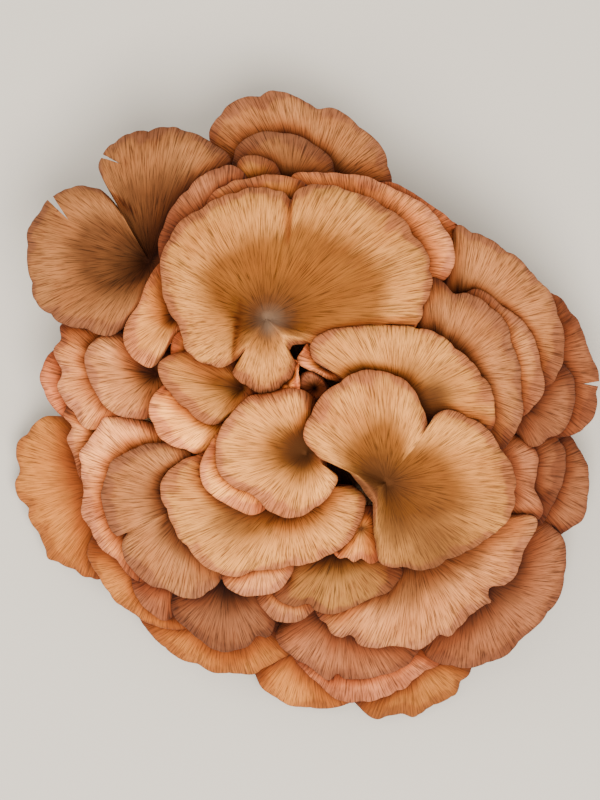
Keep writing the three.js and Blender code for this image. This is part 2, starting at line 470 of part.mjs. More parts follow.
// One mushroom, swollen by grow on every side
function mushroomGeometry(mushroom, seed, grow = 0) {
  const rim = rimFromHub(mushroom);
  const { count, turns, radii, softTurns, softRadii } = rim;
  const ruffle = margin(mushroom, seed, count);
  const [hubX, hubY] = mushroom.hub;
  const meanRadius = radii.reduce((sum, radius) => sum + radius, 0) / count;
  const stem = mushroom.stem ?? clamp(stemShare * meanRadius, thinnestStem, thickestStem);
  const size = meanRadius / usualRadius;
  const relief = clamp(size, smallestSize, 1);
  const flesh = hubThickness * clamp(size, thinnestFlesh, thickestFlesh);
  const rollShare = (at) => rollWidth / Math.max(radii[at], rollRadius);

  const place = (at, share) => {
    const weight = 1 - (1 - share) ** 2;
    const turn = mix(softTurns[at], turns[at], weight);
    const radius = share * mix(softRadii[at], radii[at], weight) + grow * share;
    return [hubX + radius * Math.cos(turn), hubY + radius * Math.sin(turn)];
  };
  const top = (at, share) => {
    const [x, y] = place(at, share);
    const dip = mushroom.dip * (1 - share) ** 2;
    const crown = crownHeight * relief * Math.sin(Math.PI * share ** crownPlace);
    const bend = rim.corners[at].z * share ** 2 + ruffle(at) * share ** 3;
    const roll = rollDepth * relief * Math.max(0, 1 - (1 - share) / rollShare(at)) ** 2;
    return new THREE.Vector3(x, y, shelf(x, y, mushroom.tier) - dip + crown + bend - roll + grow);
  };
  // The rolled margin is steep, so it takes more room below than the hub does
  const room = (share) => 2 * grow * (1 + share);
  const thickness = (share) => rimThickness + (flesh - rimThickness) * (1 - share) ** thinning + room(share);
  const all = radii.map((_, at) => at);
  const everyOther = all.filter((at) => at % 2 === 0);
  const ring = (share, corners = all) => ({ points: corners.map((at) => top(at, share)) });
  const rollRing = { points: all.map((at) => top(at, 1 - rollShare(at))) };
  const underRing = (share, depth) => ({
    under: true,
    points: all.map((at) => {
      const point = top(at, share);
      point.z -= thickness(share) + depth * (at % 2);
      return point;
    }),
  });

  // The neck sits under the hub, and the stem falls from it towards the cluster's axis
  const hub = top(0, 0);
  const neckHeight = hub.z - grow - flesh - neckDrop;
  const aimHeight = Math.max(lowestAim, neckHeight - stemSlope * Math.hypot(hubX, hubY));
  const fall = new THREE.Vector3(-hubX, -hubY, aimHeight - neckHeight);
  if (fall.length() < 1) fall.set(0, 0, -1);
  fall.normalize();
  const stemCircle = (at, widest, ridges) => {
    const radius = Math.min(widest, (gillShare * radii[at]) / 2) * (1 + ridges * (at % 2)) + grow;
    return new THREE.Vector3(radius * Math.cos(softTurns[at]), radius * Math.sin(softTurns[at]), 0);
  };
  const neckMiddle = new THREE.Vector3(hubX, hubY, neckHeight);
  const neck = all.map((at) => stemCircle(at, neckFlare * stem, neckRidges).add(neckMiddle));
  const collarMiddle = neckMiddle.clone().addScaledVector(fall, collarDrop);
  const collar = everyOther.map((at) => stemCircle(at, stem, 0).add(collarMiddle));
  const [footMiddle, ...foot] = [collarMiddle, ...collar].map(
    (point) => toBase(point, fall).addScaledVector(fall, 4 * grow),
  );
  return skin([
    { points: [hub] }, ring(innerShare, everyOther), ring(gillShare), rollRing, ring(1),
    underRing(1, 0), underRing(gillShare, gillDepth * relief),
    { points: neck, under: true }, { points: collar }, { points: foot }, { points: [footMiddle] },
  ]);
}

// Radius of the base at a height and a direction
function baseRadius(height, turn) {
  const above = baseProfile.findIndex(([, z]) => z > height);
  let radius = 0;
  if (height < 0) {
    radius = baseProfile[0][0];
  } else if (above > 0) {
    const [lowRadius, low] = baseProfile[above - 1];
    const [highRadius, high] = baseProfile[above];
    radius = mix(lowRadius, highRadius, (height - low) / (high - low));
  } else {
    const [lastRadius, last] = baseProfile[baseProfile.length - 1];
    radius = Math.max(0, mix(lastRadius, 0, (height - last) / (baseTop - last)));
  }
  const lumps = baseLumps.map(([count, share, phase]) => share * Math.sin(count * turn + phase));
  return radius * lumps.reduce((sum, lump) => sum + lump, 1);
}

// Slides a point down a stem until it meets the base
function toBase(point, fall) {
  const foot = point.clone();
  const outside = () => {
    const radius = baseRadius(foot.z, Math.atan2(foot.y, foot.x));
    return Math.hypot(foot.x, foot.y) > radius + 2 * clearance;
  };
  for (let travelled = 0; travelled < longestStem && outside(); travelled += stemStep) {
    foot.addScaledVector(fall, stemStep);
  }
  return foot;
}

function baseGeometry(grow = 0) {
  const ring = ([radius, z]) => ({
    points: Array.from({ length: baseSides }, (_, side) => {
      const turn = (fullTurn * side) / baseSides;
      const reach = (baseRadius(z, turn) || radius) + grow;
      return new THREE.Vector3(reach * Math.cos(turn), reach * Math.sin(turn), z);
    }),
  });
  return skin([
    { points: [new THREE.Vector3(0, 0, baseTop + grow)] },
    ...[...baseProfile].reverse().map(ring),
    { points: [new THREE.Vector3(0, 0, 0)] },
  ]);
}

// Geometry to solid and back, for the cuts
function toSolid(geometry) {
  const bare = geometry.clone();
  bare.deleteAttribute('normal');
  bare.deleteAttribute('uv');
  const merged = mergeVertices(bare, weldDistance);
  return new wasm.Manifold(new wasm.Mesh({
    numProp: 3,
    vertProperties: new Float32Array(merged.attributes.position.array),
    triVerts: new Uint32Array(merged.index.array),
  }));
}

function toGeometry(solid) {
  const { vertProperties, triVerts } = solid.getMesh();
  const indexed = new THREE.BufferGeometry();
  indexed.setAttribute('position', new THREE.BufferAttribute(vertProperties, 3));
  indexed.setIndex(new THREE.BufferAttribute(triVerts, 1));
  const geometry = indexed.toNonIndexed();
  geometry.computeVertexNormals();
  return geometry;
}

// A dry margin splits in a thin wedge
function tearSolid(corners) {
  const wedge = new THREE.Shape(corners.map(([x, y]) => new THREE.Vector2(x, y)));
  const geometry = new THREE.ExtrudeGeometry(wedge, { depth: tearHeight, bevelEnabled: false });
  return toSolid(geometry);
}

// Lower mushrooms give way to the ones that grew over them
function clearOf(solid, others) {
  const pressing = others.filter((other) => solid.intersect(other).volume() > 0);
  if (pressing.length === 0) return solid;
  const cut = pressing.reduce((left, other) => left.subtract(other), solid);
  return cut.decompose().reduce((largest, body) => (body.volume() > largest.volume() ? body : largest));
}

const cluster = new THREE.Group();

function addMesh(name, solid, tone) {
  const material = new THREE.MeshStandardMaterial({ ...tones[tone], metalness: 0 });
  const mesh = new THREE.Mesh(toGeometry(solid), material);
  mesh.name = name;
  cluster.add(mesh);
}

addMesh('grown_base', toSolid(baseGeometry()), 'flesh');

const over = [toSolid(baseGeometry(clearance))];
const byTier = mushrooms.map((mushroom, seed) => ({ mushroom, seed }))
  .sort((a, b) => b.mushroom.tier - a.mushroom.tier);
for (const { mushroom, seed } of byTier) {
  const tears = (mushroom.tears ?? []).map(tearSolid);
  const whole = toSolid(mushroomGeometry(mushroom, seed));
  addMesh(mushroom.name, clearOf(clearOf(whole, over), tears), mushroom.tone);
  over.push(toSolid(mushroomGeometry(mushroom, seed, clearance)));
}

export default cluster;
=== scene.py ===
import math

import bpy
import numpy as np
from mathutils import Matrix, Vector
from mathutils.bvhtree import BVHTree
from mathutils.kdtree import KDTree


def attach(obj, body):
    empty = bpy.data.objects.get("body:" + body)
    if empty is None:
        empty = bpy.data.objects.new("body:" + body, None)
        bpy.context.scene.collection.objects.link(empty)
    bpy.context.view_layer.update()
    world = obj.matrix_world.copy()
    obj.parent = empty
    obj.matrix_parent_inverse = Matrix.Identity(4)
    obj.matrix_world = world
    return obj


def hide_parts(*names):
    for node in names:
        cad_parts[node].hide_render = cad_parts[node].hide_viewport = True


# Oyster mushroom cluster seen from straight above, every cap, gill and stem in place
# All tables are in millimetres, and mm turns them into the frame's metres
mm = 0.001
fullTurn = 2 * math.pi

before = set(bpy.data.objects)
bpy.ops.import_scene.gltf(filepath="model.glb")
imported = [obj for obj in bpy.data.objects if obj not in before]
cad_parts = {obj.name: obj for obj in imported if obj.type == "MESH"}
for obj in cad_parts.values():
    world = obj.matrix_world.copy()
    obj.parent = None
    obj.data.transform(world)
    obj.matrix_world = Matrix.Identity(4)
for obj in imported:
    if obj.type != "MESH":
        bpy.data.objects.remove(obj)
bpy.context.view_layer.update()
bpy.ops.object.select_all(action="DESELECT")
print("frame loaded with", len(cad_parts), "nodes")

# Camera straight over the cut face, as the photo was taken
shot = {
    "height": 1200,  # over the table
    "sees": 280,  # along the picture's long side, at half the cluster's height
    "halfHeight": 60,
    "sensor": 36,
    "farthest": 20000,
}
bpy.ops.object.camera_add(location=(0, 0, shot["height"] * mm), rotation=(0, 0, 0))
camera = bpy.context.object
camera.name = "photoCamera"
camera.data.sensor_width = shot["sensor"]
camera.data.lens = shot["sensor"] * (shot["height"] - shot["halfHeight"]) / shot["sees"]
camera.data.clip_end = shot["farthest"] * mm
bpy.context.scene.camera = camera

# Table, and the even light of a pale room with a window high up in front
room = {
    "table": 6000,
    "board": ("#ada496", "#b5ab9d"),  # the paint's two faintly different greys
    "boardRoughness": 0.9,
    "skyColour": "#f3f4f6",
    "skyStrength": 1.5,
    "lamps": [  # place, size, watts, and the point it faces
        dict(name="window", at=(120, -450, 1350), size=800, power=46, aim=(0, 0, 60)),
        dict(name="softSide", at=(-900, 500, 1200), size=900, power=16, aim=(0, 0, 60)),
    ],
}


def toLinear(hexColour):
    channels = [int(hexColour[i:i + 2], 16) / 255 for i in (1, 3, 5)]
    return tuple(c / 12.92 if c <= 0.04045 else ((c + 0.055) / 1.055) ** 2.4 for c in channels) + (1,)


def addNode(tree, kind, settings=None, **links):
    # Settings are the node's own fields or its sockets' values, links are sockets fed by other nodes
    node = tree.nodes.new(kind)
    for key, value in (settings or {}).items():
        if isinstance(key, int) or key in node.inputs:
            node.inputs[key].default_value = value
        else:
            setattr(node, key, value)
    for key, source in links.items():
        socket = int(key[1:]) if key[0] == "i" and key[1:].isdigit() else key.replace("_", " ")
        tree.links.new(source, node.inputs[socket])
    return node


def newMaterial(name):
    material = bpy.data.materials.new(name)
    material.use_nodes = True
    tree = material.node_tree
    return material, tree, tree.nodes["Principled BSDF"]


def ramp(tree, source, stops, interpolation="LINEAR"):
    node = addNode(tree, "ShaderNodeValToRGB", Fac=source)
    node.color_ramp.interpolation = interpolation
    elements = node.color_ramp.elements
    while len(elements) < len(stops):
        elements.new(0.5)
    for element, (place, colour) in zip(elements, stops):
        element.position = place
        element.color = toLinear(colour) if isinstance(colour, str) else (colour, colour, colour, 1)
    return node.outputs["Color"]


def readAttribute(tree, name, output="Fac"):
    return addNode(tree, "ShaderNodeAttribute", {"attribute_name": name}).outputs[output]


def stretch(tree, vector, scale, shift=0):
    settings = {"Scale": scale, "Location": (shift, 0, 0)}
    return addNode(tree, "ShaderNodeMapping", settings, Vector=vector).outputs["Vector"]


def noise(tree, vector, scale, detail, roughness=0.5):
    settings = {"Scale": scale, "Detail": detail, "Roughness": roughness}
    return addNode(tree, "ShaderNodeTexNoise", settings, Vector=vector).outputs["Fac"]


def calculate(tree, operation, source, *values, **links):
    settings = {"operation": operation, **dict(enumerate(values, 1))}
    return addNode(tree, "ShaderNodeMath", settings, i0=source, **links).outputs[0]


def multiply(tree, ground, tint, amount=1.0):
    settings = {"data_type": "RGBA", "blend_type": "MULTIPLY", "Factor": amount}
    return addNode(tree, "ShaderNodeMix", settings, i6=ground, i7=tint).outputs[2]


def layOver(tree, ground, colour, amount):
    settings = {"data_type": "RGBA", 7: toLinear(colour)}
    return addNode(tree, "ShaderNodeMix", settings, i6=ground, Factor=amount).outputs[2]


def roughen(tree, shader, height, strength, depth):
    bump = addNode(tree, "ShaderNodeBump", {"Strength": strength, "Distance": depth * mm}, Height=height)
    tree.links.new(bump.outputs["Normal"], shader.inputs["Normal"])


# Painted board under the cluster: plain, matt, with a faint unevenness
tableTop, tree, shader = newMaterial("matt painted board")
cloudy = addNode(tree, "ShaderNodeTexNoise", {"Scale": 3.0, "Detail": 2.0}).outputs["Fac"]
darker, lighter = (toLinear(grey) for grey in room["board"])
paint = addNode(tree, "ShaderNodeMix", {"data_type": "RGBA", 6: darker, 7: lighter}, Factor=cloudy)
tree.links.new(paint.outputs[2], shader.inputs["Base Color"])
shader.inputs["Roughness"].default_value = room["boardRoughness"]

bpy.ops.mesh.primitive_plane_add(size=room["table"] * mm, location=(0, 0, 0))
table = bpy.context.object
table.name = "paleTable"
table.data.materials.append(tableTop)

sky = bpy.data.worlds.new("paleRoom")
sky.use_nodes = True
sky.node_tree.nodes["Background"].inputs["Color"].default_value = toLinear(room["skyColour"])
sky.node_tree.nodes["Background"].inputs["Strength"].default_value = room["skyStrength"]
bpy.context.scene.world = sky
for lamp in room["lamps"]:
    bpy.ops.object.light_add(type="AREA", location=[v * mm for v in lamp["at"]])
    light = bpy.context.object
    light.name = lamp["name"]
    light.data.size = lamp["size"] * mm
    light.data.energy = lamp["power"]
    towards = np.array(lamp["aim"]) - np.array(lamp["at"])
    flat = math.hypot(towards[0], towards[1])
    light.rotation_euler = (math.atan2(flat, -towards[2]), 0, math.atan2(towards[0], -towards[1]) + math.pi)
print("camera, table and lamps ready")

# Cap skins are dry and matt, with flat brown fibrils lying out from the stem over pale flesh
fibrils = {
    "felt": (0.45, 5.5),  # width and length of the fine fibrils
    "hair": (0.38, 4.0),  # and of the few dark ones near the margin
    "hairColour": "#5a2c14",
    "band": (7.0, 30.0),  # broad, faint streaks
    "cloud": 16.0,  # size of the faint clouds across a cap
    "cloudWander": 0.5,  # how far the clouds move the colours' borders, and then the bands
    "bandWander": 0.25,
    "wanderMiddle": 0.12,
    "bump": 0.3,
    "bumpHeight": 0.35,
}
# From the margin inwards: the margin itself, the pale outer band and the middle, then the hub over the
# stem, with the middle and hub darker partly by the skin's own colour and partly as painted shade in the
# cap's hollow
# Felt says how dark the felt's gaps are
skins = {
    "pale": dict(edge="#bd7244", outer="#dd9146", middle="#8e521d", hub="#63391a",
                 roughness=0.85, felt=0.27, slot="cap_pale"),
    "tan": dict(edge="#ac6b45", outer="#c47d46", middle="#824e28", hub="#502a12",
                roughness=0.85, felt=0.27, slot="cap_tan"),
    "rust": dict(edge="#9b5b3a", outer="#b06a41", middle="#784627", hub="#452412",
                 roughness=0.8, felt=0.28, slot="cap_rust"),
    "amber": dict(edge="#a05c26", outer="#b06a2c", middle="#a45c22", hub="#542a0e",
                  roughness=0.65, felt=0.4, slot="cap_amber"),
}
zoneReach = 30
zones = (0.0, 0.05, 0.15, 0.34, 0.72)  # places of the colours, as shares of that reach from the rim
# Painted shade: how far the skin darkens under and just beside a higher cap
shutInShade = [(0.2, "#ffffff"), (0.5, "#d3bba9"), (0.78, "#977764"), (1.0, "#4c3123")]  # skin under other caps
# The dark mark's colour is mostly painted shade and partly darker skin; the bloom is pale mycelium
marks = {"stain": "#45260f", "bloom": "#a98c70"}
fleshIndex = 1.4  # how strongly moist flesh bends light


def capSkin(tone):
    look = skins[tone]
    material, tree, shader = newMaterial(f"{tone} oyster cap skin")
    grain = readAttribute(tree, "grain", "Vector")
    share = readAttribute(tree, "zone")

    def lines(size, detail, shift):
        # Fibrils stay as wide on the way in to the hub, where a circle is a half and a quarter as long
        width, length = size
        rings = []
        for shrink in (1, 0.5, 0.25):
            scale = (shrink / width, shrink / width, 1 / length)
            rings.append(noise(tree, stretch(tree, grain, scale, shift), 1.0, detail, 0.55))
        outward = ramp(tree, share, [(0.42, 0.0), (0.62, 1.0)])
        inward = ramp(tree, share, [(0.18, 0.0), (0.34, 1.0)])
        inner = addNode(tree, "ShaderNodeMix", {}, Factor=inward, i2=rings[2], i3=rings[1]).outputs[0]
        return addNode(tree, "ShaderNodeMix", {}, Factor=outward, i2=inner, i3=rings[0]).outputs[0]

    felt = lines(fibrils["felt"], 3.0, 0)
    hair = lines(fibrils["hair"], 2.0, 40)
    band = lines(fibrils["band"], 2.0, 90)
    place = addNode(tree, "ShaderNodeTexCoord").outputs["Object"]
    cloud = noise(tree, place, 1 / (fibrils["cloud"] * mm), 3.0)

    # Ground colour from the rim inwards, with its borders moved about by the clouds and the streaks
    wander = calculate(tree, "MULTIPLY_ADD", cloud, fibrils["cloudWander"], -fibrils["cloudWander"] / 2)
    streaky = calculate(tree, "MULTIPLY_ADD", band, fibrils["bandWander"], i2=wander)
    inwards = calculate(tree, "MULTIPLY_ADD", readAttribute(tree, "fromRim"), 1 / zoneReach, i2=streaky)
    shifted = calculate(tree, "SUBTRACT", inwards, fibrils["wanderMiddle"])
    colours = (look["edge"], look["edge"], look["outer"], look["outer"], look["middle"])
    ground = ramp(tree, shifted, list(zip(zones, colours)), "EASE")
    # The dark hub is partly painted shade deep in the cap's hollow
    hubness = ramp(tree, share, [(0.06, 1.0), (0.36, 0.0)])
    ground = layOver(tree, ground, look["hub"], hubness)
    ground = multiply(tree, ground, ramp(tree, cloud, [(0.3, "#c9b5a5"), (0.7, "#ffffff")]), 0.7)

    # Each cap is a little lighter or darker, partly its own tone and partly painted light and shade, and
    # painted shade darkens the skin where another cap shuts it in
    shade = readAttribute(tree, "shade")
    scaled = addNode(tree, "ShaderNodeVectorMath", {"operation": "SCALE"}, i0=ground, Scale=shade)
    ground = scaled.outputs[0]
    ground = multiply(tree, ground, ramp(tree, readAttribute(tree, "shelterShade"), shutInShade))

    # Fibrils: fine felt all over, and dark hairs that thicken towards the margin
    ground = multiply(tree, ground, ramp(tree, felt, [(0.34, look["felt"]), (0.5, 0.82), (0.66, 1.0)]))
    sparse = ramp(tree, hair, [(0.56, 0.0), (0.66, 1.0)])
    outer = ramp(tree, share, [(0.35, 0.15), (0.85, 0.75)])
    ground = layOver(tree, ground, fibrils["hairColour"], calculate(tree, "MULTIPLY", sparse, i1=outer))
    for mark, colour in marks.items():
        ground = layOver(tree, ground, colour, readAttribute(tree, mark))
    tree.links.new(ground, shader.inputs["Base Color"])
    roughen(tree, shader, felt, fibrils["bump"], fibrils["bumpHeight"])
    shader.inputs["Roughness"].default_value = look["roughness"]
    shader.inputs["Specular IOR Level"].default_value = 0.1
    shader.inputs["IOR"].default_value = fleshIndex
    return material


# Gills are paler than the cap, and painted shade darkens the grooves between them
def gillFlesh():
    material, tree, shader = newMaterial("cream oyster gills")
    grain = stretch(tree, readAttribute(tree, "grain", "Vector"), (0.4, 0.4, 0.06))
    stripes = noise(tree, grain, 1.0, 3.0)
    ground = ramp(tree, stripes, [(0.3, "#d9ad83"), (0.7, "#ecd0ac")])
    grooveShade = ramp(tree, readAttribute(tree, "ridge"), [(0.0, "#b98a63"), (1.0, "#ffffff")])
    tree.links.new(multiply(tree, ground, grooveShade, 0.8), shader.inputs["Base Color"])
    shader.inputs["Roughness"].default_value = 0.65
    shader.inputs["IOR"].default_value = fleshIndex
    return material


# Stems and the base are tough pale flesh with long fibres, brown in spots, with painted shade turning them
# dark high up between the caps
def stemFlesh(name, alongFibre, shadedAbove):
    material, tree, shader = newMaterial(name)
    place = addNode(tree, "ShaderNodeTexCoord").outputs["Object"]
    scale = (0.9, 0.9, 0.9 / alongFibre)
    fibre = noise(tree, stretch(tree, readAttribute(tree, "grain", "Vector"), scale), 1.0, 5.0, 0.65)
    ground = ramp(tree, fibre, [(0.3, "#cbb08b"), (0.5, "#e3cfae"), (0.72, "#f1e4cb")])
    brown = ramp(tree, noise(tree, place, 60.0, 4.0), [(0.5, "#ffffff"), (0.72, "#c79b6e")])
    ground = multiply(tree, ground, brown, 0.7)
    # Painted shade: above this height the flesh turns dark brown, where the stems crowd under the caps
    height = addNode(tree, "ShaderNodeSeparateXYZ", {}, Vector=place).outputs["Z"]
    limits = {"From Min": shadedAbove * mm, "From Max": (shadedAbove + 12) * mm}
    inside = addNode(tree, "ShaderNodeMapRange", limits, Value=height).outputs[0]
    tree.links.new(layOver(tree, ground, "#3f200f", inside), shader.inputs["Base Color"])
    roughen(tree, shader, fibre, 0.4, 0.6)
    shader.inputs["Roughness"].default_value = 0.8
    shader.inputs["Specular IOR Level"].default_value = 0.15
    shader.inputs["IOR"].default_value = fleshIndex
    return material


capSkins = {tone: capSkin(tone) for tone in skins}
gills = gillFlesh()
stemSkin = stemFlesh("fibrous oyster stem", 12, 36)
butt = stemFlesh("cut oyster base", 2, 30)
print("materials ready")

# How every mushroom is shaped. The lines down to spacing say the same as the solids do
growth = {
    "lowestTier": 46, "tierStep": 8, "droop": 30, "droopReach": 100,
    "rimThickness": 1.5, "hubThickness": 6.5, "usualRadius": 36, "thinning": 1.3, "smallestSize": 0.4,
    "crownHeight": 4, "crownPlace": 1.6, "rollDepth": 2.6, "rollWidth": 6, "rollRadius": 23,
    "ruffleHeight": 1.1, "ruffleLengths": (34, 21), "solidSpacing": 9.4, "solidCorners": (12, 44),
    "smoothing": 0.09, "softening": (0.6, 1.25), "gillShare": 0.66,
    "stemShare": 0.16, "thinnestStem": 3.5, "thickestStem": 8, "neckFlare": 1.35, "neckDrop": 3,
    "stemSlope": 0.9, "lowestAim": 12,  # no stem meets the axis lower than this
    "fleshRange": (0.45, 1.25),
    "spacing": 0.85,  # between two corners of a finished rim, half a gill
    "corners": (64, 420),
    "gillDepth": 1.5,
    "gillStarts": (0.0, 0.58, 0.35, 0.58),  # as shares of the way out, for one gill after another
    "gillRise": 0.12,  # share of the way out in which a gill comes up
    "lobes": ((14, 1.0, 0.95), (6.5, 0.42, 0.42)),  # length, and how far they reach out and up
    "creases": 17,  # how far in from the rim the lobes' creases run
    "gap": 0.6,  # between a cap and the one pressed down under it
    "dentPasses": 10,  # how often a dent is eased out
    "shelterReach": (1.3, 7),  # how far out from under a cap the light is dimmed
    "shelterSlope": 0.5,  # and that reach as a share of how far the cap stands above
    "shelterPasses": 3,
    # How strongly painted shade darkens the skin behind a fold's lip
    "foldShade": 0.75,  # how dark it is behind a fold's lip
    "highestAim": 44,  # or higher than this
    "longestStem": 150,
    "stemStep": 0.5,
    "stemBite": 0.6,  # share of a stem's radius that its foot goes into the base
    "sag": (5.0, 0.12),  # the most, and as a share of the stem's length
    "sway": (3.0, 0.05),
    "stemRibs": ((0.05, 9), (0.03, 17)),  # share of the radius, and how many round
    "neckRibs": 0.1,  # one gill in four runs on down the neck
    "foot": 0.4,  # how much wider a stem gets towards its foot
    "stemGrain": 3.0,  # the pattern's step from one ring of a stem to the next
}
# A fold's lip: how wide its two sides are, how steeply it rises, how far it dips behind, and how far
# painted shade reaches on its dark side
lip = {"width": 7, "rise": 1.5, "behind": 2.5, "dip": 0.3, "darkRise": 1.2, "darkReach": 3.5}
# Rings of corners: in mm from the rim where the margin rolls, then as shares of the way left to the hub
rollSteps = (6.0, 4.3, 3.0, 1.9, 1.1, 0.5, 0.13)
topShares = (0.07, 0.14, 0.22, 0.3, 0.38, 0.46, 0.54, 0.62, 0.7, 0.78, 0.86, 0.93)
underSteps = (0.2, 0.8, 1.9, 3.6)
underShares = (0.98, 0.9, 0.8, 0.69, 0.58, 0.47, 0.37, 0.29)
stemShares = (0.0, 0.05, 0.14, 0.3, 0.5, 0.72, 0.9, 1.0)  # from the neck down to inside the base
